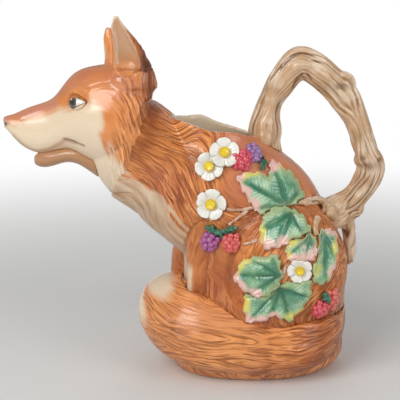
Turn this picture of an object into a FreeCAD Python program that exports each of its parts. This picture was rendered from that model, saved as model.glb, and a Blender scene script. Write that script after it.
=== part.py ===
"""A fox-shaped ceramic pitcher, modelled as the pieces a potter would cast, press and lute together.

Frame: millimetres, +Z up, the fox looks along -X and its left side faces -Y.
The origin lies on the surface that the pitcher stands on, in the fox's middle plane, under the torso.
Each ..._SHARES table holds shares of the sizes its comment names, so the sizes in the sheet drive it all.
"""

import FreeCAD, Part
import Sketcher
import math
import os

from FreeCAD import Placement, Rotation, Vector

# Driving sizes: alias, millimetres, what it is
SIZES = [
    ("torso_height", 192.0, "foot to the top of the torso form before the rim is trimmed"),
    ("torso_length", 132.0, "longest level section of the torso, front to rear"),
    ("torso_width", 108.0, "widest level section of the torso"),
    ("wall", 4.5, "thickness of the cast wall"),
    ("floor_thickness", 7.0, "inside floor above the table"),
    ("foot_ring_width", 9.0, "ring that the pitcher stands on"),
    ("foot_recess", 2.5, "hollow under the floor, inside the ring"),
    ("rim_height", 176.0, "mean height of the filling mouth's rim"),
    ("rim_wave", 10.0, "rise and fall of the rim about its mean height"),
    ("haunch_length", 78.0, "thigh bulge along the body"),
    ("haunch_height", 92.0, "thigh bulge up the body"),
    ("haunch_depth", 54.0, "thigh bulge across the body"),
    ("haunch_x", 33.0, "middle of the thighs, behind the foot's middle"),
    ("haunch_z", 80.0, "middle of the thighs above the table"),
    ("haunch_spacing", 60.0, "between the middles of the two thighs"),
    ("neck_root_x", -16.0, "root of the neck along the body"),
    ("neck_root_z", 101.0, "root of the neck above the table"),
    ("neck_reach", 76.0, "from the neck's root to the middle of the head, along the body"),
    ("neck_rise", 80.0, "from the neck's root to the middle of the head, upwards"),
    ("neck_width", 76.0, "across the neck at its widest"),
    ("head_length", 112.0, "nose to the back of the ruff"),
    ("head_height", 72.0, "jaw angle to crown"),
    ("head_width", 67.0, "across the cheeks"),
    ("joint_gap", 1.5, "the head's lute line behind the ruff"),
    ("spout_height", 10.0, "pouring channel at the mouth"),
    ("spout_width", 11.0, "pouring channel at the mouth"),
    ("throat_height", 42.0, "pouring channel where it enters the head"),
    ("throat_width", 48.0, "pouring channel where it enters the head"),
    ("jaw_length", 47.0, "lower jaw, from its root in the throat to its lip"),
    ("jaw_depth", 26.0, "lower jaw at its root"),
    ("jaw_width", 34.0, "lower jaw at its root"),
    ("ear_height", 41.0, "ear above its root in the crown"),
    ("ear_length", 33.0, "ear at its root, front to rear"),
    ("ear_thickness", 18.0, "ear at its root, side to side"),
    ("ear_spacing", 39.0, "between the middles of the ears"),
    ("ear_lead", 9.0, "the right ear stands this far ahead of the left one"),
    ("eye_length", 13.0, "eye, corner to corner"),
    ("eye_height", 9.5, "eye, lid to lid"),
    ("eye_depth", 7.0, "eyeball, side to side"),
    ("foreleg_thickness", 20.0, "foreleg at the elbow"),
    ("foreleg_height", 118.0, "foreleg, paw to shoulder"),
    ("foreleg_spacing", 52.0, "between the middles of the forelegs"),
    ("tail_thickness", 52.0, "tail brush at its thickest"),
    ("handle_rise", 112.0, "middle of the handle, lower root to the top of its arch"),
    ("handle_reach", 76.0, "middle of the handle, upper root to its rearmost knot"),
    ("handle_root_x", 14.0, "upper root of the handle along the body"),
    ("handle_root_z", 112.0, "lower root of the handle above the table"),
    ("handle_thickness", 21.0, "handle branch, side to side"),
    ("spur_height", 36.0, "root spur that runs down the rump"),
    ("spur_thickness", 11.0, "root spur, side to side"),
    ("twig_thickness", 8.0, "twigs that join the handle to the leaves"),
    ("leaf_span", 50.0, "scale of the leaves, tip to tip of the largest one"),
    ("leaf_thickness", 2.6, "leaf that lies on the body"),
    ("leaf_overlap", 1.8, "how much higher an upper leaf lies than the one below it"),
    ("flower_width", 22.0, "across the petals of the largest flower"),
    ("petal_thickness", 2.4, "petals above the body"),
    ("petal_root", 5.0, "petals pressed into the body"),
    ("flower_centre_width", 7.5, "button in the middle of a flower"),
    ("flower_centre_height", 1.9, "button above the petals"),
    ("berry_length", 16.0, "berry along its stalk"),
    ("berry_width", 13.5, "berry across its stalk"),
    ("drupelet_width", 5.4, "one bead of a berry"),
    ("stem_thickness", 2.6, "stems of the flowers and berries"),
    ("stem_lift", 0.5, "middle of a stem or twig above the body"),
]

# Level sections of the torso, as shares of its height, length, length and width: level, middle, length, width
TORSO_SHARES = (
    (0.000, 0.045, 0.970, 0.925), (0.100, 0.060, 1.000, 1.000), (0.235, 0.090, 0.940, 1.000),
    (0.365, 0.115, 0.895, 0.965), (0.495, 0.083, 0.865, 0.890), (0.625, 0.023, 0.835, 0.800),
    (0.730, -0.045, 0.790, 0.700), (0.810, -0.114, 0.680, 0.630), (0.875, -0.167, 0.530, 0.555),
    (0.940, -0.182, 0.455, 0.530), (1.000, -0.182, 0.440, 0.520),
)
# Rim lines on the left and the right side: along the torso's length, and shares of the wave above the mean
LEFT_RIM_SHARES = (
    (-0.520, 1.00), (-0.370, 0.90), (-0.300, 0.50), (-0.220, 0.00), (-0.140, -0.05), (-0.070, 0.00),
    (-0.020, -0.15), (0.060, -0.45), (0.160, -0.80),
)
RIGHT_RIM_SHARES = (
    (-0.520, 0.80), (-0.390, 0.50), (-0.300, 0.50), (-0.240, 0.70), (-0.170, 0.25), (-0.110, -0.15),
    (-0.050, -0.45), (0.000, -0.65), (0.160, -1.00),
)
# Sections of the neck: throat point, nape point (shares of reach and rise from the root), share of its width
NECK_SHARES = (
    (0.342, -0.238, -0.342, 0.238, 0.95), (0.605, -0.038, -0.105, 0.613, 1.00),
    (0.895, 0.188, 0.263, 0.888, 0.92),
    (1.145, 0.450, 0.513, 1.088, 0.82), (1.263, 0.713, 0.737, 1.213, 0.71),
)
# Sections of the head from the nose back: top point and low point (shares of length from the nose and of
# height from the chin), share of the width, and where up the section it is widest
HEAD_SHARES = (
    (0.005, 0.458, 0.010, 0.361, 0.105, 0.50), (0.045, 0.486, 0.062, 0.278, 0.225, 0.50),
    (0.116, 0.528, 0.134, 0.167, 0.300, 0.42), (0.205, 0.583, 0.223, 0.104, 0.373, 0.38),
    (0.312, 0.646, 0.321, 0.118, 0.463, 0.38), (0.384, 0.764, 0.410, 0.139, 0.567, 0.40),
    (0.473, 0.910, 0.500, 0.083, 0.716, 0.42), (0.589, 0.972, 0.589, 0.014, 0.880, 0.44),
    (0.723, 1.000, 0.679, -0.014, 0.985, 0.42), (0.848, 0.972, 0.732, 0.014, 1.000, 0.42),
    (0.973, 0.889, 0.777, 0.069, 0.925, 0.45),
)
# Pouring channel inside the head, from the throat out: along the head from the nose, up from the chin,
# shares of the spout's height and width, degrees that the section leans
CHANNEL_SHARES = (
    (0.759, 0.347, 2.80, 3.10, 20.0), (0.616, 0.306, 2.60, 2.80, 20.0), (0.473, 0.236, 1.70, 1.80, 12.0),
    (0.330, 0.167, 1.10, 1.15, 4.0), (0.089, 0.125, 1.00, 1.00, 0.0),
)
# Where the neck's hollow ends inside the head, as shares of the head's length and height, and its lean
THROAT_END_SHARES = (0.714, 0.389, 45.0)
# Sections of the lower jaw from its root out: along its length, shares of its depth for the top and the
# bottom, measured from the chin, and share of its width
JAW_SHARES = (
    (0.00, 0.66, -0.37, 1.00), (0.28, 0.58, -0.04, 0.94), (0.54, 0.54, 0.04, 0.84), (0.77, 0.46, -0.08, 0.68),
    (0.92, 0.41, -0.08, 0.50), (1.00, 0.30, 0.00, 0.24),
)
# Root of the jaw along the head's length
JAW_ROOT_SHARE = 0.616
# Middle of the ears' roots, as shares of the head's length and height
EAR_ROOT_SHARES = (0.848, 0.889)
# Height of the right ear as a share of the left one's
RIGHT_EAR_SHARE = 0.78
# Sections of an ear: share of its height, of its length forward, of its length, of its thickness
EAR_SHARES = (
    (-0.20, 0.00, 1.06, 1.05), (0.00, 0.00, 0.97, 1.00), (0.20, 0.02, 0.84, 0.86), (0.50, 0.12, 0.62, 0.60),
    (0.78, 0.27, 0.34, 0.38), (1.00, 0.34, 0.10, 0.14),
)
# Hollow of an ear, moved outwards and forwards: share of height, forward, length, thickness, outwards
EAR_HOLLOW_SHARES = (
    (0.02, 0.10, 0.20, 0.34, 0.56), (0.20, 0.13, 0.55, 0.62, 0.46), (0.50, 0.19, 0.44, 0.50, 0.34),
    (0.78, 0.29, 0.24, 0.30, 0.22), (0.93, 0.33, 0.08, 0.12, 0.14),
)
# Middle of an eye, as shares of the head's length and height, and how deep it sits, as a share of its depth
EYE_SHARES = (0.509, 0.639, 0.30)
# Forelegs: share of the torso's length, side step in shares of the spacing, share of height, of the thickness
LEFT_FORELEG_SHARES = (
    (-0.197, 0.50, 1.06, 0.95), (-0.230, 0.53, 0.88, 1.10), (-0.240, 0.53, 0.68, 0.98),
    (-0.246, 0.52, 0.44, 0.92),
    (-0.252, 0.52, 0.22, 0.90), (-0.262, 0.54, 0.05, 1.00),
)
RIGHT_FORELEG_SHARES = (
    (-0.260, 0.46, 0.95, 0.95), (-0.310, 0.48, 0.78, 0.98), (-0.340, 0.48, 0.64, 0.86),
    (-0.352, 0.46, 0.52, 0.82),
    (-0.350, 0.44, 0.32, 0.82), (-0.330, 0.42, 0.10, 0.90),
)
# Tail from its root round the left side to the tip: shares of the torso's length and width,
# of the tail's thickness for the height, and of its thickness
TAIL_SHARES = (
    (0.440, 0.12, 0.80, 0.46), (0.430, -0.10, 0.74, 0.70), (0.290, -0.295, 0.54, 0.94),
    (0.040, -0.345, 0.51, 0.95),
    (-0.190, -0.315, 0.64, 1.08), (-0.345, -0.130, 0.77, 1.08), (-0.365, 0.075, 0.86, 0.88),
    (-0.310, 0.235, 0.94, 0.52), (-0.262, 0.315, 0.98, 0.16),
)
# Handle from its upper root over the arch to its lower root: shares of the reach and rise,
# side step in shares of the thickness, share of the thickness
HANDLE_SHARES = (
    (0.000, 0.400, 0.00, 1.30), (0.007, 0.540, 0.00, 1.16), (0.020, 0.640, 0.02, 1.02),
    (0.060, 0.735, 0.03, 0.90), (0.118, 0.815, 0.00, 0.94), (0.200, 0.900, -0.04, 0.98),
    (0.318, 0.970, -0.06, 1.10), (0.470, 0.935, -0.02, 1.04), (0.625, 0.845, 0.03, 1.02),
    (0.765, 0.735, 0.05, 1.06), (0.862, 0.620, 0.02, 0.86), (0.925, 0.500, -0.04, 0.84),
    (0.975, 0.400, -0.06, 0.84), (1.015, 0.318, -0.02, 1.00), (0.990, 0.230, 0.02, 0.96),
    (0.905, 0.135, 0.02, 0.86), (0.790, 0.060, -0.06, 1.02), (0.640, 0.000, -0.22, 1.14),
    (0.560, -0.040, -0.22, 1.10),
)
# Root spur down the rump: share of the torso's length, side step in shares of the torso's width,
# share of the spur's height below the handle's lower root, share of its thickness
SPUR_SHARES = (
    (0.540, -0.020, 0.06, 0.80), (0.575, -0.040, -0.28, 1.00), (0.582, -0.050, -0.58, 0.95),
    (0.580, -0.055, -0.84, 0.80), (0.580, -0.060, -1.00, 0.55),
)
# Twigs and stems: shares of the torso's length and height, share of the thickness
UPPER_TWIG_SHARES = ((0.415, 0.642, 1.10), (0.330, 0.660, 0.80), (0.238, 0.668, 0.55))
LOWER_TWIG_SHARES = ((0.372, 0.617, 0.62), (0.358, 0.602, 0.60), (0.352, 0.583, 0.55), (0.361, 0.562, 0.50))
# Share of the twigs' thickness that the upper twig has where it leaves the handle
TWIG_ROOT_SHARE = 1.3
STEM_SHARES = {
    "flower_stem": ((-0.105, 0.650, 1.00), (-0.050, 0.646, 0.95), (0.000, 0.650, 0.95), (0.045, 0.658, 1.00)),
    "berry_stem": ((-0.092, 0.592, 0.90), (-0.058, 0.612, 0.95), (-0.020, 0.632, 1.00), (0.005, 0.644, 0.90)),
    "lone_stem": ((-0.024, 0.525, 0.60), (0.020, 0.533, 0.90), (0.056, 0.544, 1.00)),
    "low_stem": ((0.208, 0.470, 1.10), (0.192, 0.440, 1.20), (0.180, 0.412, 1.20)),
}
# Leaves: where the leaf is, as shares of the torso's length and height, then its outline in shares of the
# span
LEAF_SHARES = {
    "shoulder_leaf": ((0.1212, 0.6953), (
        (0.270, -0.144), (0.508, -0.070), (0.426, 0.108), (0.344, 0.250), (0.190, 0.352), (0.058, 0.456),
        (-0.004, 0.422), (0.012, 0.320), (-0.038, 0.230), (-0.102, 0.294), (-0.288, 0.318), (-0.464, 0.268),
        (-0.400, 0.124), (-0.308, -0.036), (-0.234, -0.142), (-0.144, -0.250), (0.004, -0.182))),
    "side_leaf": ((0.1818, 0.5990), (
        (0.108, 0.200), (-0.080, 0.238), (-0.230, 0.138), (-0.294, -0.004), (-0.304, -0.184),
        (-0.250, -0.318),
        (-0.090, -0.284), (0.034, -0.242), (0.126, -0.156), (0.386, -0.078), (0.320, 0.086), (0.200, 0.176))),
    "flank_leaf": ((0.2803, 0.5313), (
        (0.126, 0.172), (-0.006, 0.080), (-0.188, 0.086), (-0.216, -0.018), (-0.208, -0.176),
        (-0.028, -0.200),
        (0.138, -0.206), (0.204, -0.130), (0.206, 0.044))),
    "rump_leaf": ((0.4091, 0.4818), (
        (-0.080, 0.376), (0.020, 0.380), (0.150, 0.326), (0.172, 0.156), (0.146, -0.066), (0.070, -0.276),
        (-0.044, -0.358), (-0.158, -0.326), (-0.200, -0.154), (-0.108, 0.058), (-0.104, 0.282))),
    "thigh_leaf": ((0.0606, 0.4167), (
        (0.320, 0.034), (0.282, 0.188), (0.264, 0.322), (0.016, 0.270), (-0.202, 0.222), (-0.348, -0.028),
        (-0.256, -0.160), (-0.054, -0.278), (0.092, -0.276), (0.234, -0.156))),
    "haunch_leaf": ((0.1515, 0.3229), (
        (0.028, 0.266), (-0.148, 0.084), (-0.414, 0.114), (-0.440, -0.046), (-0.412, -0.288),
        (-0.218, -0.282),
        (0.002, -0.188), (0.190, -0.292), (0.300, -0.180), (0.456, 0.050), (0.484, 0.324), (0.208, 0.312))),
}
# Leaves that lie over a neighbour, and the neighbours each of them covers
UPPER_LEAVES = {"side_leaf": ("shoulder_leaf", "flank_leaf"), "thigh_leaf": ("haunch_leaf",)}
# Leafy caps of the berries: where, and outline as shares of the leaves' span
CALYX_SHARES = {
    "upper_calyx": ((0.0790, 0.7880), (
        (-0.020, 0.040), (0.010, 0.150), (0.070, 0.110), (0.050, 0.010), (0.000, -0.020))),
    "middle_calyx": ((-0.1290, 0.5730), (
        (-0.244, 0.016), (-0.134, 0.070), (-0.088, 0.006), (0.032, 0.016), (0.106, 0.060), (0.208, 0.076),
        (0.162, -0.020), (0.030, -0.110), (-0.060, -0.060), (-0.134, -0.040))),
    "low_calyx": ((0.4130, 0.3360), (
        (-0.058, 0.040), (-0.020, 0.100), (0.040, 0.040), (0.082, -0.052), (0.044, -0.076),
        (-0.028, -0.030))),
}
# Flowers: shares of the torso's length and height, share of the width, first petal's angle, and the lift as a
# share of the petals' thickness
FLOWER_SHARES = {
    "rim_flower": ((-0.117, 0.8410), 0.96, 20.0, 0.80),
    "nape_flower": ((-0.193, 0.7960), 0.92, 50.0, 0.00),
    "shoulder_flower": ((-0.183, 0.6615), 1.00, 10.0, 0.00),
    "thigh_flower": ((0.269, 0.4440), 0.80, 35.0, 0.00),
}
# Petals: how many, where their middles are, how wide they are and how wide the disc between them is,
# as shares of the flower's half width
PETALS = 5
PETAL_SHARES = (0.58, 0.42, 0.50)
# Berries: shares of the torso's length and height, degrees of lean, shares of the berry's length and width
BERRY_SHARES = {
    "rim_berry": ((-0.0280, 0.8160), 5.0, 0.92, 0.96),
    "back_berry": ((0.0400, 0.8370), -11.0, 0.98, 0.74),
    "shoulder_berry": ((-0.1890, 0.5260), 34.0, 0.96, 0.90),
    "side_berry": ((-0.0820, 0.5300), 4.0, 0.92, 0.86),
    "haunch_berry": ((0.3890, 0.2900), 25.0, 0.90, 0.80),
    "rump_berry": ((0.4470, 0.3230), 0.0, 1.20, 0.78),
}
# A berry's core under the beads: half its rise as a share of the width, then its width and its length
BERRY_CORE_SHARE, CORE_WIDTH_SHARE, CORE_LENGTH_SHARE = 0.30, 0.76, 0.80
# Beads of a berry: along its length, across its width
BEAD_SHARES = (
    (-0.34, -0.16), (-0.34, 0.18), (-0.12, -0.34), (-0.12, 0.00), (-0.12, 0.34),
    (0.12, -0.18), (0.12, 0.18), (0.30, -0.30), (0.33, 0.02), (0.28, 0.32),
)
# How deep an outline is pressed through the left side, as shares of the torso's width
LEAF_REACH_SHARE, RUMP_REACH_SHARE = 0.85, 0.74
# Teeth along a leaf's edge: shares of an edge, and how far they stand out, in shares of the leaves' span
TOOTH_SHARES = ((0.42, 0.022), (0.56, -0.012))
# Sides of a section, and how square it is
SECTION_POINTS = 16
SECTION_SQUARENESS = 2.2
LEFT, RIGHT = -1, 1
ACROSS, ALONG, UP = Vector(0, 1, 0), Vector(1, 0, 0), Vector(0, 0, 1)

doc = FreeCAD.newDocument("fox_pitcher")
sheet = doc.addObject("Spreadsheet::Sheet", "sizes")
for row, (alias, value, note) in enumerate(SIZES, start=1):
    sheet.set(f"A{row}", alias)
    sheet.set(f"B{row}", str(value))
    sheet.set(f"C{row}", note)
    sheet.setAlias(f"B{row}", alias)
doc.recompute()


def size(alias):
    """The value of a named size."""
    return float(sheet.get(alias))


def half(alias):
    return size(alias) / 2


def signed_power(value, power):
    """value raised to a power, with its sign kept."""
    return math.copysign(abs(value) ** power, value)


def oval_wire(centre, side, upwards, half_side, half_up, half_down):
    """A closed smooth wire round centre: half_side to both sides, half_up and half_down along upwards."""
    points = []
    for i in range(SECTION_POINTS):
        angle = 2 * math.pi * i / SECTION_POINTS
        across = signed_power(math.cos(angle), 2 / SECTION_SQUARENESS) * half_side
        along = signed_power(math.sin(angle), 2 / SECTION_SQUARENESS)
        along *= half_up if along > 0 else half_down
        points.append(centre + side * across + upwards * along)
    curve = Part.BSplineCurve()
    curve.interpolate(Points=points, PeriodicFlag=True)
    return Part.Wire([curve.toShape()])


def feature(label, shape):
    """A document object that holds a shape worked out from the sizes."""
    made = doc.addObject("Part::Feature", label)
    made.Shape = shape
    return made


def loft(label, wires, ruled=False):
    """A solid loft through wires."""
    made = doc.addObject("Part::Loft", label)
    made.Sections = [feature(f"{label}_section_{i}", wire) for i, wire in enumerate(wires, start=1)]
    made.Solid = True
    made.Ruled = ruled
    return made


def fused(label, forms):
    made = doc.addObject("Part::MultiFuse", label)
    made.Shapes = list(forms)
    return made


def shared(label, first, second):
    """What two forms have in common."""
    made = doc.addObject("Part::Common", label)
    made.Base, made.Tool = first, second
    return made


def less(label, form, cutters):
    """A form with each cutter taken away from it in turn; the result takes the label."""
    for i, cutter in enumerate(cutters, start=1):
        made = doc.addObject("Part::Cut", label if i == len(cutters) else f"{label}_cut_{i}")
        made.Base, made.Tool, made.Refine = form, cutter, False
        form = made
    return form


def tube_wires(points, half_widths, hint):
    """Round sections across a path, each turned so that its upward side leans to the hint."""
    wires = []
    for i, (point, half_width) in enumerate(zip(points, half_widths)):
        before, after = points[max(i - 1, 0)], points[min(i + 1, len(points) - 1)]
        heading = (after - before).normalize()
        upwards = (hint - heading * hint.dot(heading)).normalize()
        wires.append(oval_wire(point, heading.cross(upwards), upwards, half_width, half_width, half_width))
    return wires


# Body and head forms
def torso_form(label, growth, floor):
    """The torso as level ovals, larger by growth all round, its first section at floor."""
    wires = []
    for level, middle, length, width in TORSO_SHARES:
        centre = Vector(middle * size("torso_length"), 0, max(level * size("torso_height"), floor))
        half_length = length * half("torso_length") + growth
        half_width = width * half("torso_width") + growth
        wires.append(oval_wire(centre, ACROSS, ALONG, half_width, half_length, half_length))
    return loft(label, wires)


def spanning_wire(top, low, half_width, widest):
    """An upright oval between a top and a low point in the middle plane."""
    upwards = top - low
    height = upwards.Length
    upwards.normalize()
    centre = low + upwards * (widest * height)
    return oval_wire(centre, ACROSS, upwards, half_width, (1 - widest) * height, widest * height)


def neck_point(reach, rise):
    root = Vector(size("neck_root_x"), 0, size("neck_root_z"))
    return root - ALONG * (reach * size("neck_reach")) + UP * (rise * size("neck_rise"))


# The head hangs on the end of the neck: its middle is at these shares of its length and height
HEAD_MIDDLE_SHARES = (0.723, 0.444)
nose_x = neck_point(1, 1).x - HEAD_MIDDLE_SHARES[0] * size("head_length")
chin_z = neck_point(1, 1).z - HEAD_MIDDLE_SHARES[1] * size("head_height")


def head_point(along, up):
    return Vector(nose_x + along * size("head_length"), 0, chin_z + up * size("head_height"))


def neck_wires(growth):
    wires = []
    for throat_reach, throat_rise, nape_reach, nape_rise, width in NECK_SHARES:
        throat, nape = neck_point(throat_reach, throat_rise), neck_point(nape_reach, nape_rise)
        inwards = (nape - throat).normalize() * growth
        half_width = width * half("neck_width") + growth
        wires.append(spanning_wire(nape + inwards, throat - inwards, half_width, 0.5))
    return wires


def haunch_form(label, side, growth):
    haunch = doc.addObject("Part::Ellipsoid", label)
    haunch.setExpression("Radius1", f"sizes.haunch_height / 2 + {growth}")
    haunch.setExpression("Radius2", f"sizes.haunch_length / 2 + {growth}")
    haunch.setExpression("Radius3", f"sizes.haunch_depth / 2 + {growth}")
    haunch.setExpression("Placement.Base.x", "sizes.haunch_x")
    haunch.setExpression("Placement.Base.y", f"{side} * sizes.haunch_spacing / 2")
    haunch.setExpression("Placement.Base.z", "sizes.haunch_z")
    return haunch


def rim_wire(side, shares):
    """Outline of what is trimmed off above the rim, on one side of the torso."""
    y = side * half("torso_width")
    line = [Vector(along * size("torso_length"), y, size("rim_height") + rise * size("rim_wave"))
            for along, rise in shares]
    ceiling = size("torso_height") + size("wall")
    corners = [line[-1], Vector(line[-1].x, y, ceiling), Vector(line[0].x, y, ceiling), line[0]]
    curve = Part.BSplineCurve()
    curve.interpolate(line)
    return Part.Wire([curve.toShape()] + [Part.makeLine(a, b) for a, b in zip(corners, corners[1:])])


full_torso = torso_form("torso_form", 0, 0)
rim_tool = loft("rim_tool", [rim_wire(LEFT, LEFT_RIM_SHARES), rim_wire(RIGHT, RIGHT_RIM_SHARES)], ruled=True)
torso = less("trimmed_torso", full_torso, [rim_tool])
neck = loft("neck_form", neck_wires(0))
head_wires = []
for top_along, top_up, low_along, low_up, width, widest in HEAD_SHARES:
    head_wires.append(spanning_wire(head_point(top_along, top_up), head_point(low_along, low_up),
                                    width * half("head_width"), widest))
head = loft("head_form", head_wires)
haunches = [haunch_form("left_haunch_form", LEFT, "0"), haunch_form("right_haunch_form", RIGHT, "0")]
outer = fused("outer_form", [torso, neck, head, *haunches])

# Hollow: the torso's inside, the neck's inside and the pouring channel to the mouth
torso_hollow = torso_form("torso_hollow", -size("wall"), size("floor_thickness"))


def leaning_wire(along, up, half_height, half_width, lean):
    """An oval across the head's middle plane, leaning back by some degrees."""
    upwards = Vector(math.sin(math.radians(lean)), 0, math.cos(math.radians(lean)))
    return oval_wire(head_point(along, up), ACROSS, upwards, half_width, half_height, half_height)


throat_wires = neck_wires(-size("wall"))[:-1]
end_along, end_up, end_lean = THROAT_END_SHARES
throat_wires.append(leaning_wire(end_along, end_up, half("throat_height"), half("throat_width"), end_lean))
throat = loft("throat_hollow", throat_wires)
channel_wires = []
for along, up, height, width, lean in CHANNEL_SHARES:
    half_height, half_width = height * half("spout_height"), width * half("spout_width")
    channel_wires.append(leaning_wire(along, up, half_height, half_width, lean))
channel = loft("channel_hollow", channel_wires)
recess_wires = []
for level in (-size("foot_recess"), size("foot_recess")):
    middle, length, width = TORSO_SHARES[0][1:]
    half_length = length * half("torso_length") - size("foot_ring_width")
    half_width = width * half("torso_width") - size("foot_ring_width")
    recess_wires.append(oval_wire(Vector(middle * size("torso_length"), 0, level), ACROSS, ALONG,
                                  half_width, half_length, half_length))
recess = loft("recess_tool", recess_wires)
hollow = fused("hollow", [torso_hollow, throat, channel])
shell = less("whole_shell", outer, [hollow, recess])

# The lute line: a plane a little behind the ruff, with everything in front of it on the head
ruff_top, ruff_low = head_point(*HEAD_SHARES[-1][0:2]), head_point(*HEAD_SHARES[-1][2:4])
rearwards = (ruff_top - ruff_low).normalize().cross(ACROSS) * -1
head_space = doc.addObject("Part::Box", "head_space")
head_space.setExpression("Length", "sizes.head_length * 3 / 2")
head_space.setExpression("Width", "sizes.head_width * 2")
head_space.setExpression("Height", "sizes.head_height * 2")
turn = Rotation(ALONG, rearwards)
middle_of_ruff = (ruff_top + ruff_low) / 2 + rearwards * size("joint_gap")
corner = turn.multVec(Vector(size("head_length") * 3 / 2, size("head_width"), size("head_height")))
head_space.Placement = Placement(middle_of_ruff - corner, turn)
head_shell = shared("head_shell", shell, head_space)
body_shell = less("body_shell", shell, [head_space])
doc.recompute()


def body_hit(x, z, side):
    """Where a level line across the body first meets it, coming from one side."""
    start = Vector(x, side * size("torso_width"), z)
    inside = outer.Shape.common(Part.makeLine(start, Vector(x, 0, z)))
    return min((v.Point for v in inside.Vertexes), key=lambda p: (p - start).Length)


def skin_point(along, up):
    """The point of the left side at a place given in shares of the torso's length and height."""
    return body_hit(along * size("torso_length"), up * size("torso_height"), LEFT)


def skin_frame(x, z, side, lift):
    """A placement on the body: its Z leaves the body, its Y runs up it, lifted by lift."""
    step = half("drupelet_width")
    here = body_hit(x, z, side)
    forward = (body_hit(x + step, z, side) - body_hit(x - step, z, side)) * -side
    upward = body_hit(x, z + step, side) - body_hit(x, z - step, side)
    outwards = forward.cross(upward).normalize()
    return Placement(here + outwards * lift, Rotation(forward, upward, outwards, "ZXY"))


# Sub-parts, and the plain forms that the pieces beside them are trimmed with
PARTS = {"body_shell": body_shell, "head_shell": head_shell}
FORMS = {}


def trimmed(label, form, neighbours=()):
    """A form with the body and its neighbours' plain forms taken away, kept as a sub-part."""
    PARTS[label] = less(label, form, [outer] + [FORMS[name] for name in neighbours])
    FORMS.setdefault(label, form)


# Lower jaw
jaw_root = head_point(JAW_ROOT_SHARE, 0)
jaw_wires = []
for along, top, low, width in JAW_SHARES:
    place = jaw_root - ALONG * (along * size("jaw_length"))
    upper, lower = (place + UP * (share * size("jaw_depth")) for share in (top, low))
    jaw_wires.append(spanning_wire(upper, lower, width * half("jaw_width"), 0.5))
PARTS["lower_jaw"] = less("lower_jaw", loft("jaw_form", jaw_wires), [outer, hollow])

# Ears
for label, side, share, lead in (("left_ear", LEFT, 1, 0),
                                 ("right_ear", RIGHT, RIGHT_EAR_SHARE, size("ear_lead"))):
    root = head_point(*EAR_ROOT_SHARES) + ACROSS * (side * half("ear_spacing")) - ALONG * lead
    ear_wires, hollow_wires = [], []
    for up, forward, length, thickness in EAR_SHARES:
        place = root + UP * (up * share * size("ear_height")) - ALONG * (forward * size("ear_length"))
        ear_wires.append(oval_wire(place, ACROSS, ALONG, thickness * half("ear_thickness"),
                                   length * half("ear_length"), length * half("ear_length")))
    for up, forward, length, thickness, outwards in EAR_HOLLOW_SHARES:
        place = root + UP * (up * share * size("ear_height")) - ALONG * (forward * size("ear_length"))
        place += ACROSS * (side * outwards * size("ear_thickness"))
        hollow_wires.append(oval_wire(place, ACROSS, ALONG, thickness * half("ear_thickness"),
                                      length * half("ear_length"), length * half("ear_length")))
    ear_form, ear_hollow = loft(f"{label}_form", ear_wires), loft(f"{label}_hollow", hollow_wires)
    PARTS[label] = less(label, ear_form, [ear_hollow, outer])

# Eyes
for label, side in (("left_eye", LEFT), ("right_eye", RIGHT)):
    eyeball = doc.addObject("Part::Ellipsoid", f"{label}_ball")
    eyeball.setExpression("Radius1", "sizes.eye_depth / 2")
    eyeball.setExpression("Radius2", "sizes.eye_length / 2")
    eyeball.setExpression("Radius3", "sizes.eye_height / 2")
    place = head_point(*EYE_SHARES[0:2])
    eyeball.Placement = skin_frame(place.x, place.z, side, -EYE_SHARES[2] * size("eye_depth"))
    PARTS[label] = less(label, eyeball, [outer])

# Forelegs and tail
for label, side, shares in (("left_foreleg", LEFT, LEFT_FORELEG_SHARES),
                            ("right_foreleg", RIGHT, RIGHT_FORELEG_SHARES)):
    path = [Vector(along * size("torso_length"), side * step * size("foreleg_spacing"),
                   up * size("foreleg_height")) for along, step, up, thickness in shares]
    widths = [row[-1] * half("foreleg_thickness") for row in shares]
    trimmed(label, loft(f"{label}_form", tube_wires(path, widths, ACROSS)))
path = [Vector(along * size("torso_length"), across * size("torso_width"), up * size("tail_thickness"))
        for along, across, up, thickness in TAIL_SHARES]
widths = [row[-1] * half("tail_thickness") for row in TAIL_SHARES]
tail_form = loft("tail_form", tube_wires(path, widths, UP))
PARTS["tail"] = less("tail", tail_form, [outer, PARTS["left_foreleg"], PARTS["right_foreleg"]])

# Handle with its root spur
handle_path = []
for along, up, step, thickness in HANDLE_SHARES:
    handle_path.append(Vector(size("handle_root_x") + along * size("handle_reach"),
                              step * size("handle_thickness"),
                              size("handle_root_z") + up * size("handle_rise")))
widths = [row[-1] * half("handle_thickness") for row in HANDLE_SHARES]
handle_form = loft("handle_form", tube_wires(handle_path, widths, ACROSS))
trimmed("handle", handle_form)
path = [Vector(along * size("torso_length"), across * size("torso_width"),
               size("handle_root_z") + down * size("spur_height"))
        for along, across, down, thickness in SPUR_SHARES]
widths = [row[-1] * half("spur_thickness") for row in SPUR_SHARES]
spur_form = loft("spur_form", tube_wires(path, widths, ACROSS))
PARTS["handle_spur"] = less("handle_spur", spur_form, [handle_form, outer])


# Leaves: an outline pressed through a skin that lies on the left side
def leaf_outline(label, place, shares):
    """A closed toothed outline beside the left side, as a wire object."""
    middle = Vector(place[0] * size("torso_length"), -size("torso_width"), place[1] * size("torso_height"))
    corners = [middle + (ALONG * x + UP * z) * size("leaf_span") for x, z in shares]
    turning = sum(a.z * b.x - a.x * b.z for a, b in zip(corners, corners[1:] + corners[:1]))
    points = []
    for a, b in zip(corners, corners[1:] + corners[:1]):
        points.append(a)
        outwards = Vector(a.z - b.z, 0, b.x - a.x).normalize() * math.copysign(size("leaf_span"), turning)
        points.extend(a + (b - a) * along + outwards * out for along, out in TOOTH_SHARES)
    return feature(f"{label}_outline", Part.makePolygon(points + points[:1]))


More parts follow.
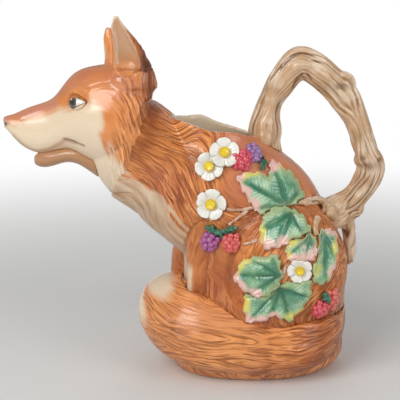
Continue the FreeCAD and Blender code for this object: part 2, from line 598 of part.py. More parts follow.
def skin(label, growth, expression):
    """The torso and the left thigh, larger by growth."""
    haunch = haunch_form(f"{label}_haunch", LEFT, expression)
    return fused(label, [torso_form(f"{label}_torso", growth, 0), haunch])


def pressed(label, place, shares, cover):
    """An outline pressed through the skin that covers the left side."""
    prism = doc.addObject("Part::Extrusion", f"{label}_prism")
    FORMS[label] = prism
    prism.Base = leaf_outline(label, place, shares)
    prism.DirMode = "Custom"
    prism.Dir = ACROSS
    prism.Solid = True
    reach = RUMP_REACH_SHARE if label == "rump_leaf" else LEAF_REACH_SHARE
    prism.setExpression("LengthFwd", f"sizes.torso_width * {reach}")
    return shared(f"{label}_form", prism, cover)


low_skin = skin("low_skin", size("leaf_thickness"), "sizes.leaf_thickness")
high_skin = skin("high_skin", size("leaf_thickness") + size("leaf_overlap"),
                 "sizes.leaf_thickness + sizes.leaf_overlap")
for label, (place, shares) in LEAF_SHARES.items():
    if label not in UPPER_LEAVES:
        trimmed(label, pressed(label, place, shares, low_skin))
for label, below in UPPER_LEAVES.items():
    form = pressed(label, *LEAF_SHARES[label], high_skin)
    PARTS[label] = less(label, form, [outer] + [PARTS[name] for name in below])

# Flowers and their centres
for label, (place, width, angle, lift) in FLOWER_SHARES.items():
    middle_share, petal_share, heart_share = PETAL_SHARES
    raised = lift * size("petal_thickness")
    seat = (place[0] * size("torso_length"), place[1] * size("torso_height"), LEFT)
    base = skin_frame(*seat, raised - size("petal_root"))
    discs = []
    for i in range(PETALS + 1):
        disc = doc.addObject("Part::Cylinder", f"{label}_disc_{i}")
        share = petal_share if i else heart_share
        disc.setExpression("Radius", f"sizes.flower_width / 2 * {width * share}")
        disc.setExpression("Height", "sizes.petal_root + sizes.petal_thickness")
        turn = math.radians(angle + 360 / PETALS * i)
        reach = middle_share * width * half("flower_width") if i else 0
        step = Vector(math.cos(turn) * reach, math.sin(turn) * reach, 0)
        disc.Placement = base * Placement(step, Rotation())
        discs.append(disc)
    FORMS[label] = fused(f"{label}_form", discs)
    body = doc.addObject("PartDesign::Body", f"{label}_centre")
    outline = body.newObject("Sketcher::SketchObject", f"{label}_centre_outline")
    outline.addGeometry(Part.Circle(Vector(0, 0, 0), UP, half("flower_centre_width")), False)
    outline.addConstraint(Sketcher.Constraint("Coincident", 0, 3, -1, 1))
    outline.addConstraint(Sketcher.Constraint("Radius", 0, half("flower_centre_width")))
    outline.setExpression("Constraints[1]", f"sizes.flower_centre_width / 2 * {width}")
    pad = body.newObject("PartDesign::Pad", f"{label}_centre_pad")
    pad.Profile = outline
    pad.setExpression("Length", "sizes.flower_centre_height")
    body.Placement = skin_frame(*seat, raised + size("petal_thickness"))
    PARTS[f"{label}_centre"] = body
doc.recompute()
for label, over in (("rim_flower", ()), ("nape_flower", ("rim_flower",)), ("shoulder_flower", ()),
                    ("thigh_flower", ("flank_leaf", "haunch_leaf", "rump_leaf"))):
    trimmed(label, FORMS[label], over)

# Berries
for label, over in (("rim_berry", ("rim_flower",)), ("back_berry", ("rim_berry",)),
                    ("shoulder_berry", ("left_foreleg",)), ("side_berry", ()), ("haunch_berry", ()),
                    ("rump_berry", ("haunch_berry",))):
    place, lean, length, width = BERRY_SHARES[label]
    seat = skin_frame(place[0] * size("torso_length"), place[1] * size("torso_height"), LEFT, 0)
    seat = seat * Placement(Vector(), Rotation(UP, -lean))
    core = doc.addObject("Part::Ellipsoid", f"{label}_core")
    core.setExpression("Radius1", f"sizes.berry_width * {BERRY_CORE_SHARE}")
    core.setExpression("Radius2", f"sizes.berry_width / 2 * {CORE_WIDTH_SHARE * width}")
    core.setExpression("Radius3", f"sizes.berry_length / 2 * {CORE_LENGTH_SHARE * length}")
    core.Placement = seat
    beads = [core]
    for i, (up, across) in enumerate(BEAD_SHARES, start=1):
        rise = math.sqrt(1 - (2 * up) ** 2 - (2 * across) ** 2) * BERRY_CORE_SHARE * size("berry_width")
        bead = doc.addObject("Part::Sphere", f"{label}_bead_{i}")
        bead.setExpression("Radius", "sizes.drupelet_width / 2")
        middle = Vector(across * width * size("berry_width"), up * length * size("berry_length"), rise)
        bead.Placement = seat * Placement(middle, Rotation())
        beads.append(bead)
    trimmed(label, fused(f"{label}_form", beads), over)

# Calyxes
for label, over in (("upper_calyx", ("back_berry",)),
                    ("middle_calyx", ("shoulder_berry", "side_berry")),
                    ("low_calyx", ("haunch_berry", "rump_berry"))):
    trimmed(label, pressed(label, *CALYX_SHARES[label], high_skin), over)

# Twigs and stems that creep over the left side
def creeping(label, shares, thickness, neighbours, path=(), widths=()):
    """A round stem over the left side, after any earlier points of its path."""
    path = list(path) + [skin_point(along, up) - ACROSS * size("stem_lift") for along, up, share in shares]
    widths = list(widths) + [row[-1] * thickness / 2 for row in shares]
    trimmed(label, loft(f"{label}_form", tube_wires(path, widths, ACROSS)), neighbours)


creeping("upper_twig", UPPER_TWIG_SHARES, size("twig_thickness"), ("handle", "shoulder_leaf"),
         handle_path[-2:-1], [TWIG_ROOT_SHARE * half("twig_thickness")])
creeping("lower_twig", LOWER_TWIG_SHARES, size("twig_thickness"),
         ("side_leaf", "flank_leaf", "rump_leaf"))
for label, over in (("flower_stem", ("shoulder_flower", "shoulder_leaf")),
                    ("berry_stem", ("middle_calyx", "flower_stem")), ("lone_stem", ()),
                    ("low_stem", ("thigh_leaf", "haunch_leaf", "thigh_flower", "flank_leaf"))):
    creeping(label, STEM_SHARES[label], size("stem_thickness"), over)
doc.recompute()

# Every object must have built, and every sub-part must be one sound solid
for made in doc.Objects:
    if "Invalid" in made.State or "Error" in made.State:
        raise RuntimeError(f"{made.Label} did not build")
os.makedirs("parts", exist_ok=True)
for label, made in PARTS.items():
    made.Label = label
    shape = made.Shape
    if not shape.isValid() or len(shape.Solids) != 1:
        print(f"{label}: valid {shape.isValid()}, solids {[round(q.Volume) for q in shape.Solids]}")
    shape.exportStep(f"parts/{label}.step")
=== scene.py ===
"""Dresses the fox pitcher: combed fur under a flowing brown glaze, bark, leaves, flowers and berries.

Each operator sculpts one piece, or one group of like pieces, from a copy of its frame solid.
Lengths in the tables are millimetres in the frame: +Z up, the fox looks along -X, its left side is -Y.
"""

import math

import bpy
import numpy as np
from bpy.props import FloatProperty, FloatVectorProperty, PointerProperty
from mathutils import Matrix, Vector
from mathutils.bvhtree import BVHTree


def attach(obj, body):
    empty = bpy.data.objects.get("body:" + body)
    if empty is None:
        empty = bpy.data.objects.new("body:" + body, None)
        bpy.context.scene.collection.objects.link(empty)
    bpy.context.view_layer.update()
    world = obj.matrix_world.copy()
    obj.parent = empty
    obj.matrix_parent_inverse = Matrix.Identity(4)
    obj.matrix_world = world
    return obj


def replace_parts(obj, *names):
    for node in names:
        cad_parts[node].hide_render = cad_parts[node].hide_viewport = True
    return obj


bl_info = {
    "name": "Fox pitcher",
    "version": (1, 0, 0),
    "blender": (4, 5, 0),
    "location": "3D View > Sidebar > Pitcher",
    "description": "Sculpts and glazes the fox pitcher round its frame",
    "category": "Add Mesh",
}

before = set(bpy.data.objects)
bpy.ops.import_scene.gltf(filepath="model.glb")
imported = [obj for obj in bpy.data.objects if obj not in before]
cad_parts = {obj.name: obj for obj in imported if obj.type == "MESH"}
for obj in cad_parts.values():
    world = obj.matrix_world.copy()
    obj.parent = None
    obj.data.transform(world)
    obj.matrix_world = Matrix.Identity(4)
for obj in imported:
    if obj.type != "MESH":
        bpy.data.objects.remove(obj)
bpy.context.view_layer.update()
MM = 0.001
ALONG, ACROSS, UP = np.eye(3)

# Combing lines of the fur, from front to back
HEAD_LINE = ((-173, 0, 178), (-150, 0, 180), (-120, 0, 186), (-95, 0, 188), (-62, 0, 178))
BODY_LINE = (
    (-92, 0, 186), (-66, 0, 160), (-38, 0, 130), (-10, 0, 104), (16, 0, 76), (30, 0, 40), (34, 0, -10),
)
NECK_LINE = ((-92, 0, 186), (-54, 0, 144), (-16, 0, 101))
JAW_LINE = ((-150, 0, 155), (-125, 0, 158), (-100, 0, 152))
LEG_LINE = ((-26, -26, 125), (-30, -28, 104), (-32, -28, 80), (-33, -27, 52), (-33, -27, 26), (-35, -28, 6))
# Middle of the tail by its turn round the foot in degrees: height and reach
TAIL_BOW = (
    (-14, 42, 53), (12, 38, 51), (46, 28, 45), (93, 27, 37), (133, 33, 47), (165, 40, 55), (188, 45, 56),
    (208, 49, 54), (219, 51, 54),
)
# Middle line of the handle, from its upper root round to its lower one
HANDLE_LINE = (
    (14, 0, 150), (14.5, 0, 172.5), (15.5, 0, 183.7), (18.6, 0, 194.3), (23, 0, 203.3),
    (29.2, -1, 212.8), (38.2, -1, 220.6), (49.7, 0, 216.7), (61.5, 0, 206.6), (72.1, 1, 194.3),
    (79.5, 0, 181.4), (84.3, -1, 168), (88.1, -1, 156.8), (91.1, 0, 147.6), (89.2, 0, 137.8),
    (82.8, 0, 127.1), (74, -1, 118.7), (62.6, -4, 112), (50, -5, 105),
)
# Outlines seen from the side, as (x, z): places where the pale glaze shows
CHEEK_OUTLINE = (
    (-176, 174), (-171.5, 179), (-162, 178.5), (-152.9, 182), (-143.9, 184.5), (-135, 188), (-129, 190.5),
    (-121, 190), (-114.2, 193.6), (-105, 198), (-98.7, 194.2), (-97.4, 184.7), (-100.3, 174.4), (-98, 164.1),
    (-90, 156), (-83, 151), (-83, 130), (-180, 130),
)
CHEST_OUTLINE = (
    (-125, 165), (-112, 150), (-95.8, 128), (-81.7, 110), (-67.5, 97), (-60.5, 60), (-38, 60), (-37.9, 100),
    (-46, 110), (-56, 124), (-70, 137), (-82, 147), (-89, 152), (-100, 168),
)


# Small tools
def select_only(piece):
    """Makes a piece the only selected and the active one."""
    bpy.ops.object.select_all(action="DESELECT")
    piece.select_set(True)
    bpy.context.view_layer.objects.active = piece


def smoothstep(low, high, value):
    """Rises smoothly from 0 at low to 1 at high; low may be the larger of the two."""
    share = np.clip((value - low) / (high - low), 0, 1)
    return share * share * (3 - 2 * share)


def lattice(cells, seed):
    """A repeatable number from 0 to 1 for each cell of a grid."""
    x, y, z = (cells[:, i].astype(np.uint64) for i in range(3))
    mask = np.uint64(0xFFFFFFFF)
    mixed = x * np.uint64(374761393) + y * np.uint64(668265263) + z * np.uint64(2246822519)
    mixed = (mixed + np.uint64(seed * 3266489917 & 0xFFFFFFFF)) & mask
    for shift, factor in ((15, 2246822519), (13, 3266489917), (16, 668265263)):
        mixed = ((mixed ^ (mixed >> np.uint64(shift))) * np.uint64(factor)) & mask
    return (mixed ^ (mixed >> np.uint64(16))) / float(0xFFFFFFFF)


def noise(points, seed=0):
    """Smooth noise from 0 to 1 at points that are measured in cells."""
    cells = np.floor(points)
    part = points - cells
    part = part * part * (3 - 2 * part)
    cells = cells.astype(np.int64)
    total = np.zeros(len(points))
    for corner in np.ndindex(2, 2, 2):
        weight = np.prod(np.where(np.array(corner, bool), part, 1 - part), axis=1)
        total += weight * lattice(cells + np.array(corner), seed)
    return total


def locks(combing, length, width, seed, furrow=0.09):
    """Tufts along the combing: 1 on their backs, 0 in the narrow furrows between them."""
    field = noise(combing / (length, width, width), seed)
    return 1 - np.exp(-(((field - 0.5) / furrow) ** 2))


def finer(line, steps=10):
    """A smooth path through the points of a line, in metres."""
    points = np.array(line, float) * MM
    ends = np.vstack([2 * points[0] - points[1], points, 2 * points[-1] - points[-2]])
    path = []
    for before, a, b, after in zip(ends, ends[1:], ends[2:], ends[3:]):
        for share in np.arange(steps) / steps:
            bend = 2 * a + (b - before) * share + (2 * before - 5 * a + 4 * b - after) * share ** 2
            path.append((bend + (3 * a - before - 3 * b + after) * share ** 3) / 2)
    return np.array(path + [points[-1]])


def follow(co, line, hint):
    """For each point: distance along the line, and its offset from the line to the hint and to the side."""
    path = finer(line)
    runs = np.diff(path, axis=0)
    lengths = np.linalg.norm(runs, axis=1)
    starts = np.concatenate([[0], np.cumsum(lengths)[:-1]])
    nearest = np.full(len(co), np.inf)
    along = np.zeros(len(co))
    upward, sideward = np.zeros(len(co)), np.zeros(len(co))
    for i, (a, run, length) in enumerate(zip(path, runs, lengths)):
        heading = run / length
        share = (co - a) @ heading
        low = -np.inf if i == 0 else 0
        high = np.inf if i == len(runs) - 1 else length
        foot = a + np.clip(share, low, high)[:, None] * heading
        away = co - foot
        distance = np.einsum("ij,ij->i", away, away)
        better = distance < nearest
        lift = hint - heading * (hint @ heading)
        lift /= np.linalg.norm(lift)
        nearest[better] = distance[better]
        along[better] = (starts[i] + np.clip(share, low, high))[better]
        upward[better] = (away @ lift)[better]
        sideward[better] = (away @ np.cross(heading, lift))[better]
    return along, upward, sideward


def comb(co, line, hint, girth):
    """Combing in metres: along the line, and round it on a cylinder of that girth, alike on both sides."""
    along, upward, sideward = follow(co, line, hint)
    return np.column_stack([along, girth * np.abs(np.arctan2(sideward, upward))])


def turned(combing, middle, degrees):
    """The combing, turned about a middle (along, across) in metres."""
    away = combing - np.array(middle)
    angle = np.radians(degrees)
    return np.column_stack([away[:, 0] * np.cos(angle) + away[:, 1] * np.sin(angle) + middle[0],
                            away[:, 1] * np.cos(angle) - away[:, 0] * np.sin(angle) + middle[1]])


def blended(first, second, share):
    """The first combing where the share is 0, the second where it is 1."""
    return first * (1 - share[:, None]) + second * share[:, None]


def streaks(combing, length, width, seed):
    """Noise from 0 to 1 that is drawn out along the combing, in millimetres."""
    along, across = combing.T
    return noise(np.column_stack([along / (length * MM), across / (width * MM), 0 * along]), seed)


def hair_lines(combing, length, width, seed, sway=0.9):
    """Carved lines along the combing, in millimetres: 0 in a line, 1 beside it; each line comes and goes."""
    along, across = combing.T
    place = across / (width * MM) + 2 * sway * (streaks(combing, 24, 14, seed) - 0.5)
    line = np.floor(place)
    aside = (place - line - 0.5) * 2
    gate = noise(np.column_stack([along / (length * MM) + 0.37 * line, line, 0 * along]), seed + 1)
    strength = smoothstep(0.28, 0.62, gate)
    return 1 - strength * np.exp(-((aside / (0.14 + 0.36 * strength)) ** 2))


def line_distance(points, line):
    """Distance in metres from points to a line whose corners are in millimetres."""
    best = np.full(len(points), np.inf)
    corners = np.array(line, float) * MM
    for a, b in zip(corners, corners[1:]):
        run = b - a
        share = np.clip((points - a) @ run / (run @ run), 0, 1)
        best = np.minimum(best, np.linalg.norm(points - a - share[:, None] * run, axis=1))
    return best


def beside_line(points, line, width):
    """1 on a line, fading to 0 over a width in millimetres."""
    return np.exp(-(line_distance(points, line) / (width * MM)) ** 2)


def within(flat, outline, softness):
    """1 inside an outline of (x, z) corners, 0 outside, with a soft edge."""
    corners = np.array(outline, float) * MM
    inside = np.zeros(len(flat), bool)
    for a, b in zip(corners, np.roll(corners, -1, axis=0)):
        crosses = (a[1] > flat[:, 1]) != (b[1] > flat[:, 1])
        rise = b[1] - a[1] if b[1] != a[1] else 1e-12
        inside ^= crosses & (flat[:, 0] < a[0] + (b[0] - a[0]) * (flat[:, 1] - a[1]) / rise)
    signed = line_distance(flat, list(outline) + [outline[0]]) * np.where(inside, 1, -1)
    return smoothstep(-softness * MM, softness * MM, signed)


def near(co, middle, radii):
    """1 at a place in millimetres, fading to 0 round it."""
    return np.exp(-(((co - np.array(middle, float) * MM) / (np.array(radii, float) * MM)) ** 2).sum(1))


def blob(co, centre, radii):
    """1 at a place, fading to 0 round it, the same on both sides of the fox."""
    both = np.column_stack([co[:, 0], np.abs(co[:, 1]), co[:, 2]])
    away = (both - np.array(centre, float) * MM) / (np.array(radii, float) * MM)
    return np.exp(-np.einsum("ij,ij->i", away, away))


def facing(offset, normal):
    """How far the skin faces away from an axis: 1 outwards, -1 inwards."""
    reach = np.maximum(np.linalg.norm(offset, axis=1), 1e-6)
    return np.einsum("ij,ij->i", offset, normal) / reach


def skin_of(node):
    """The skin of a frame node, to be searched."""
    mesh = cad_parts[node].data
    return BVHTree.FromPolygons([v.co for v in mesh.vertices], [p.vertices for p in mesh.polygons])


def nearness(co, node, reach):
    """1 on the skin of a frame node, fading to 0 at a reach in millimetres."""
    tree = skin_of(node)
    far = reach * MM
    away = []
    for point in co:
        distance = tree.find_nearest(Vector(point), far)[3]
        away.append(far if distance is None else distance)
    return 1 - smoothstep(0.15 * far, far, np.array(away))


def lump(centre, radii, lean=0.0):
    """An egg of clay, leaning by degrees about the line across the fox, to be joined to a piece."""
    bpy.ops.object.select_all(action="DESELECT")
    place = [v * MM for v in centre]
    bpy.ops.mesh.primitive_uv_sphere_add(segments=32, ring_count=20, radius=1.0, location=place,
                                         rotation=(0, math.radians(lean), 0))
    egg = bpy.context.active_object
    egg.scale = [v * MM for v in radii]
    bpy.ops.object.transform_apply(location=True, rotation=True, scale=True)
    return egg


class Clay:
    """A piece that starts as a copy of frame solids, remeshed evenly so that it can be sculpted."""

    def __init__(self, name, nodes, grain, smoothing=3, lumps=()):
        copies = [lump(*form) for form in lumps]
        for node in nodes:
            copy = bpy.data.objects.new(name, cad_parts[node].data.copy())
            bpy.context.scene.collection.objects.link(copy)
            copies.append(copy)
        select_only(copies[-1])
        for copy in copies:
            copy.select_set(True)
        if len(copies) > 1:
            bpy.ops.object.join()
        self.piece = bpy.context.view_layer.objects.active
        self.piece.name = name
        self.nodes = nodes
        self.piece.data.materials.clear()
        bpy.ops.object.mode_set(mode="EDIT")
        bpy.ops.mesh.select_all(action="SELECT")
        bpy.ops.mesh.remove_doubles(threshold=1e-6)
        bpy.ops.object.mode_set(mode="OBJECT")
        self.modifier("REMESH", mode="VOXEL", voxel_size=grain * MM, adaptivity=0)
        if smoothing:
            self.modifier("SMOOTH", factor=0.5, iterations=smoothing)
        self.read()

    def modifier(self, kind, **settings):
        """Adds a modifier and applies it."""
        modifier = self.piece.modifiers.new(kind.lower(), kind)
        for key, value in settings.items():
            setattr(modifier, key, value)
        select_only(self.piece)
        bpy.ops.object.modifier_apply(modifier=modifier.name)

    def rows(self, name):
        """A vector of each vertex, read from the mesh."""
        vertices = self.piece.data.vertices
        values = np.empty(len(vertices) * 3, np.float32)
        vertices.foreach_get(name, values)
        return values.reshape(-1, 3).astype(float)

    def read(self):
        """Takes places, normals and places seen from the side from the mesh."""
        self.co, self.normal = self.rows("co"), self.rows("normal")
        self.flat = self.co[:, [0, 2]]

    def move(self, amount):
        """Moves each vertex along its normal by an amount in millimetres."""
        self.co += self.normal * (np.asarray(amount) * MM)[:, None]
        self.write()

    def shift(self, way, share):
        """Moves each vertex by its share of one way in millimetres, inner and outer skins alike."""
        self.co += np.outer(share, np.array(way, float) * MM)
        self.write()

    def write(self):
        """Gives the places back to the mesh."""
        mesh = self.piece.data
        mesh.vertices.foreach_set("co", self.co.astype(np.float32).ravel())
        mesh.update()
        self.read()

    def paint(self, name, values):
        """Keeps values on the vertices, for a material to read."""
        vector = np.ndim(values) == 2
        kind = "FLOAT_VECTOR" if vector else "FLOAT"
        layer = self.piece.data.attributes.new(name, kind, "POINT")
        layer.data.foreach_set("vector" if vector else "value", np.asarray(values, np.float32).ravel())

    def finish(self, material):
        """Glazes the piece, sets it under the root body and hides the frame nodes that it stands for."""
        select_only(self.piece)
        bpy.ops.object.shade_smooth()
        self.piece.data.materials.append(material)
        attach(self.piece, "root")
        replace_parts(self.piece, *self.nodes)
        self.piece


# Shader tools
def linear(red, green, blue):
    """A colour written in everyday 0-255 steps, as the shaders want it."""
    steps = [value / 255 for value in (red, green, blue)]
    return (*[v / 12.92 if v <= 0.04045 else ((v + 0.055) / 1.055) ** 2.4 for v in steps], 1.0)


class Palette:
    """The panel's glaze colours, as the shaders want them."""

    def __getattr__(self, name):
        return linear(*getattr(bpy.context.scene.pitcher_glaze, name))


GLAZE = Palette()


class Bench:
    """Adds nodes to a tree: an input that is a socket is linked, and any other is set."""

    def __init__(self, tree):
        self.tree = tree

    def feed(self, node, inputs):
        for key, value in inputs.items():
            if isinstance(value, bpy.types.NodeSocket):
                self.tree.links.new(value, node.inputs[key])
            else:
                node.inputs[key].default_value = value

    def add(self, kind, inputs=None, out=0, **settings):
        node = self.tree.nodes.new(kind)
        for key, value in settings.items():
            setattr(node, key, value)
        self.feed(node, inputs or {})
        return node.outputs[out] if len(node.outputs) else node

    def maths(self, operation, *values):
        return self.add("ShaderNodeMath", dict(enumerate(values)), operation=operation)

    def plus(self, a, b):
        return self.maths("ADD", a, b)

    def minus(self, a, b):
        return self.maths("SUBTRACT", a, b)

    def times(self, a, b):
        return self.maths("MULTIPLY", a, b)

    def over(self, a, b):
        return self.maths("DIVIDE", a, b)

    def larger(self, a, b):
        return self.maths("MAXIMUM", a, b)

    def band(self, value, low, high, start=0.0, end=1.0):
        """Value mapped smoothly from low..high to start..end."""
        ends = {"Value": value, "From Min": low, "From Max": high, "To Min": start, "To Max": end}
        return self.add("ShaderNodeMapRange", ends, interpolation_type="SMOOTHSTEP")

    def mix(self, factor, a, b):
        return self.add("ShaderNodeMix", {0: factor, 6: a, 7: b}, out=2, data_type="RGBA")

    def painted(self, name, vector=False):
        """Values that were painted on the vertices."""
        node = self.tree.nodes.new("ShaderNodeAttribute")
        node.attribute_name = name
        return node.outputs["Vector" if vector else "Fac"]

    def noise(self, vector, scale, detail=2.0):
        return self.add("ShaderNodeTexNoise", {"Vector": vector, "Scale": scale, "Detail": detail})

    def stretch(self, vector, *scale):
        return self.add("ShaderNodeVectorMath", {0: vector, 1: scale}, operation="MULTIPLY")

    def group(self, tree, inputs, outputs):
        node = self.tree.nodes.new("ShaderNodeGroup")
        node.node_tree = tree
        self.feed(node, inputs)
        return [node.outputs[name] for name in outputs]


def new_group(name, inputs, outputs):
    """A node group with named sockets: (tree, bench, input sockets, output sockets)."""
    tree = bpy.data.node_groups.new(name, "ShaderNodeTree")
    for label, kind in inputs:
        tree.interface.new_socket(label, in_out="INPUT", socket_type=kind)
    for label, kind in outputs:
        tree.interface.new_socket(label, in_out="OUTPUT", socket_type=kind)
    given = tree.nodes.new("NodeGroupInput").outputs
    return tree, Bench(tree), given, tree.nodes.new("NodeGroupOutput").inputs


VECTOR, VALUE, COLOUR = "NodeSocketVector", "NodeSocketFloat", "NodeSocketColor"


def strokes_group():
    """Fine brushed hairs along the combing: 1 on a hair's back, 0 in the line beside it."""
    tree, bench, given, out = new_group("combed_strokes", [("Combing", VECTOR), ("Fineness", VALUE)],
                                        [("Height", VALUE), ("Tint", VALUE)])
    drift = bench.add("ShaderNodeTexNoise", {"Vector": given["Combing"], "Scale": 70.0, "Detail": 1.0}, out=1)
    sway = bench.stretch(drift, 0.0, 0.0035, 0.0035)
    swayed = bench.add("ShaderNodeVectorMath", {0: given["Combing"], 1: sway}, operation="ADD")
    scaled = bench.add("ShaderNodeVectorMath", {0: swayed, "Scale": given["Fineness"]}, operation="SCALE")
    broad = bench.band(bench.noise(bench.stretch(scaled, 62.0, 520.0, 520.0), 1.0, 1.0), 0.34, 0.56)
    fine = bench.band(bench.noise(bench.stretch(scaled, 110.0, 1050.0, 1050.0), 1.0, 1.0), 0.36, 0.60)
    height = bench.plus(bench.times(broad, 0.65), bench.times(fine, 0.35))
    bench.tree.links.new(height, out["Height"])
    bench.tree.links.new(bench.noise(bench.stretch(scaled, 45.0, 130.0, 130.0), 1.0, 2.0), out["Tint"])
    return tree


def glaze_group():
    """The skin of a fired glaze: slow waves, and a roughness that wanders with faint handling marks."""
    tree, bench, given, out = new_group("fired_glaze", [("Place", VECTOR), ("Gloss", VALUE)],
                                        [("Roughness", VALUE), ("Waves", VALUE)])
    cloud = bench.noise(given["Place"], 45.0, 3.0)
    speck = bench.band(bench.noise(given["Place"], 900.0, 1.0), 0.68, 0.78, 0.0, 0.18)
    rough = bench.add("ShaderNodeMapRange", {"Value": cloud, "From Min": 0.3, "From Max": 0.7,
                                             "To Min": 0.02, "To Max": 0.14})
    total = bench.plus(bench.plus(rough, given["Gloss"]), speck)
    bench.tree.links.new(total, out["Roughness"])
    bench.tree.links.new(bench.noise(given["Place"], 110.0, 1.0), out["Waves"])
    return tree


GROUPS = {}


def new_material(name, coat=0.35):
    """A glossy glazed material: its bench, its object coordinates and a function that ends it."""
    material = bpy.data.materials.new(name)
    material.use_nodes = True
    tree = material.node_tree
    tree.nodes.clear()
    bench = Bench(tree)
    place = bench.add("ShaderNodeTexCoord", out=3)
    if not GROUPS:
        GROUPS.update(strokes=strokes_group(), glaze=glaze_group())

    def end(colour, height, depth, gloss=0.08, wave=0.10, film=0.04):
        """Joins the colour, a height from 0 to 1 and its depth in millimetres to the shader."""
        roughness, waves = bench.group(GROUPS["glaze"], {"Place": place, "Gloss": gloss}, ["Roughness", "Waves"])
        total = bench.plus(bench.times(height, depth), bench.times(waves, wave))
        bump = bench.add("ShaderNodeBump", {"Height": total, "Distance": MM, "Strength": 1.0})
        shader = bench.add("ShaderNodeBsdfPrincipled", {
            "Base Color": colour, "Roughness": roughness, "Normal": bump, "Coat Weight": coat,
            "Coat Roughness": film, "Specular IOR Level": 0.5})
        bench.add("ShaderNodeOutputMaterial", {"Surface": shader})
        return material

    return bench, place, end


def fur_material(name):
    """Brown glaze that runs thin on the hairs and pools dark between them, with pale airbrushed places, painted
    light, painted highlights and painted shade.
    """
    bench, place, end = new_material(name, coat=0.28)
    combing = bench.painted("combing", vector=True)
    relief = bench.painted("relief")
    height, tint = bench.group(GROUPS["strokes"], {"Combing": combing, "Fineness": 1.0}, ["Height", "Tint"])
    smooth = bench.painted("smooth")
    calm = bench.minus(1.0, smooth)
    tufts = bench.band(relief, 0.0, 1.0, 0.35, 1.0)
    line = bench.minus(1.0, bench.times(bench.minus(1.0, height), calm))
    patch = bench.band(bench.noise(place, 28.0, 2.0), 0.35, 0.68)
    fur = bench.mix(patch, GLAZE.fur_tan, GLAZE.fur_rust)
    light = bench.times(bench.band(line, 0.55, 1.0), bench.band(tint, 0.40, 0.62, 0.25, 0.85))
    fur = bench.mix(bench.times(light, calm), fur, GLAZE.fur_light)
    # Lighter where the bright mask says: paler fur on the head and foot, and painted light on the lit front of
    # the tail
    fur = bench.mix(bench.times(bench.painted("bright"), 0.6), fur, GLAZE.fur_light)
    pools = bench.minus(1.0, bench.times(bench.band(line, 0.0, 0.8), tufts))
    fur = bench.mix(bench.times(pools, 0.74), fur, GLAZE.fur_dark)
    # Mauve-pink glaze, and painted sheen and painted highlights where the masks put them on the tail and the
    # head
    fur = bench.mix(bench.painted("blush"), fur, GLAZE.blush)
    # Deep brown: darker fur, and painted shade in folds, creases and on undersides
    fur = bench.mix(bench.painted("rust"), fur, GLAZE.fur_deep)
    pale = bench.mix(bench.times(pools, 0.30), GLAZE.cream, GLAZE.cream_shade)
    pale = bench.mix(bench.times(bench.painted("warm"), 0.9), pale, GLAZE.tan)
    ragged = bench.plus(bench.painted("cream"), bench.times(bench.minus(tint, 0.5), 0.5))
    colour = bench.mix(bench.band(ragged, 0.14, 0.86), fur, pale)
    # Dark drawn lines of the nose and mouth, and painted shade in the furrow behind the ruff
    colour = bench.mix(bench.painted("dark"), colour, GLAZE.soot)
    return end(colour, line, bench.times(calm, 0.36), gloss=0.13, film=0.12)


# The fox
def paint_fur(clay, relief, **masks):
    """Hands the paint masks of a furry piece to its material."""
    clay.paint("relief", relief)
    for name in ("cream", "warm", "blush", "rust", "dark", "smooth", "bright"):
        clay.paint(name, np.clip(masks.get(name, 0) + np.zeros(len(relief)), 0, 1))


def carve_fur(clay, combing, outer, depth, seed, tuft=4.8, hair=2.6, length=22.0, bend=7.0):
    """Carves tufts and hairs into the outer skin; gives back their relief from 0 to 1."""
    ripple = noise(clay.co / 0.009, seed + 3) - 0.5
    wave = noise(clay.co / 0.026, seed + 5) - 0.5
    swayed = combing + np.outer(2 * wave + 0.35 * ripple, (0, bend * MM))
    tufts = hair_lines(swayed, length, tuft, seed)
    hairs = hair_lines(swayed, 0.7 * length, hair, seed + 11)
    crowd = smoothstep(0.25, 0.60, noise(clay.co / 0.014, seed + 9))
    relief = 1 - (1 - (0.6 * tufts + 0.4 * hairs)) * (0.45 + 0.55 * crowd)
    clay.move((relief - 1) * depth * outer)
    clay.paint("combing", np.column_stack([swayed, np.zeros(len(swayed))]))
    return relief


def almond(flat):
    """The eye's outline seen from the side: under 1 inside it, with a point at the rear."""
    east, north = (flat[:, 0] + 0.1178) / MM, (flat[:, 1] - 0.1963) / MM
    half = 4.9 * np.sqrt(np.clip(1 - (np.minimum(east, 0) / 6.0) ** 2, 0.01, 1))
    half = np.where(east > 0, 4.9 * np.clip(1 - east / 8.6, 0.01, 1) ** 0.75, half)
    beyond = np.maximum(np.where(east > 0, east / 8.6, -east / 6.0) - 1, 0)
    return np.abs(north) / half + 4.0 * beyond


def soften(clay, mask, rounds):
    """Relaxes the skin where the mask is 1."""
    group = clay.piece.vertex_groups.new(name="soften")
    for level in range(1, 11):
        chosen = np.nonzero((mask * 10).round() == level)[0]
        if len(chosen):
            group.add(chosen.tolist(), level / 10, "REPLACE")
    clay.modifier("SMOOTH", factor=0.8, iterations=rounds, vertex_group="soften")
    clay.piece.vertex_groups.clear()
    clay.read()


# Eggs of clay that carry the ears' rear rims down into the neck
EAR_ROOTS = (((-70.5, -21, 208), (6.5, 6.5, 13), -14), ((-79.5, 21, 208), (6.5, 6.5, 12), -14))
# Places round the ears' roots that are smoothed: middle and radii
EAR_CREASES = (
    ((-70, 20, 214), (11, 12, 8)), ((-84, 24, 212), (12, 12, 6)), ((-66, 17, 202), (14, 20, 7)),
    ((-63, 10, 202), (12, 22, 7)), ((-75, 24, 202), (11, 12, 5)),
)
# Sizes of the left ear, and each ear's side, share of that height and way ahead
EAR_HEIGHT, EAR_LENGTH, EAR_THICKNESS, EAR_SPACING = 41.0, 33.0, 18.0, 39.0
EAR_ROOT_X, EAR_ROOT_Z = -78.0, 213.03
EARS = ((-1, 1.0, 0.0), (1, 0.78, 9.0))
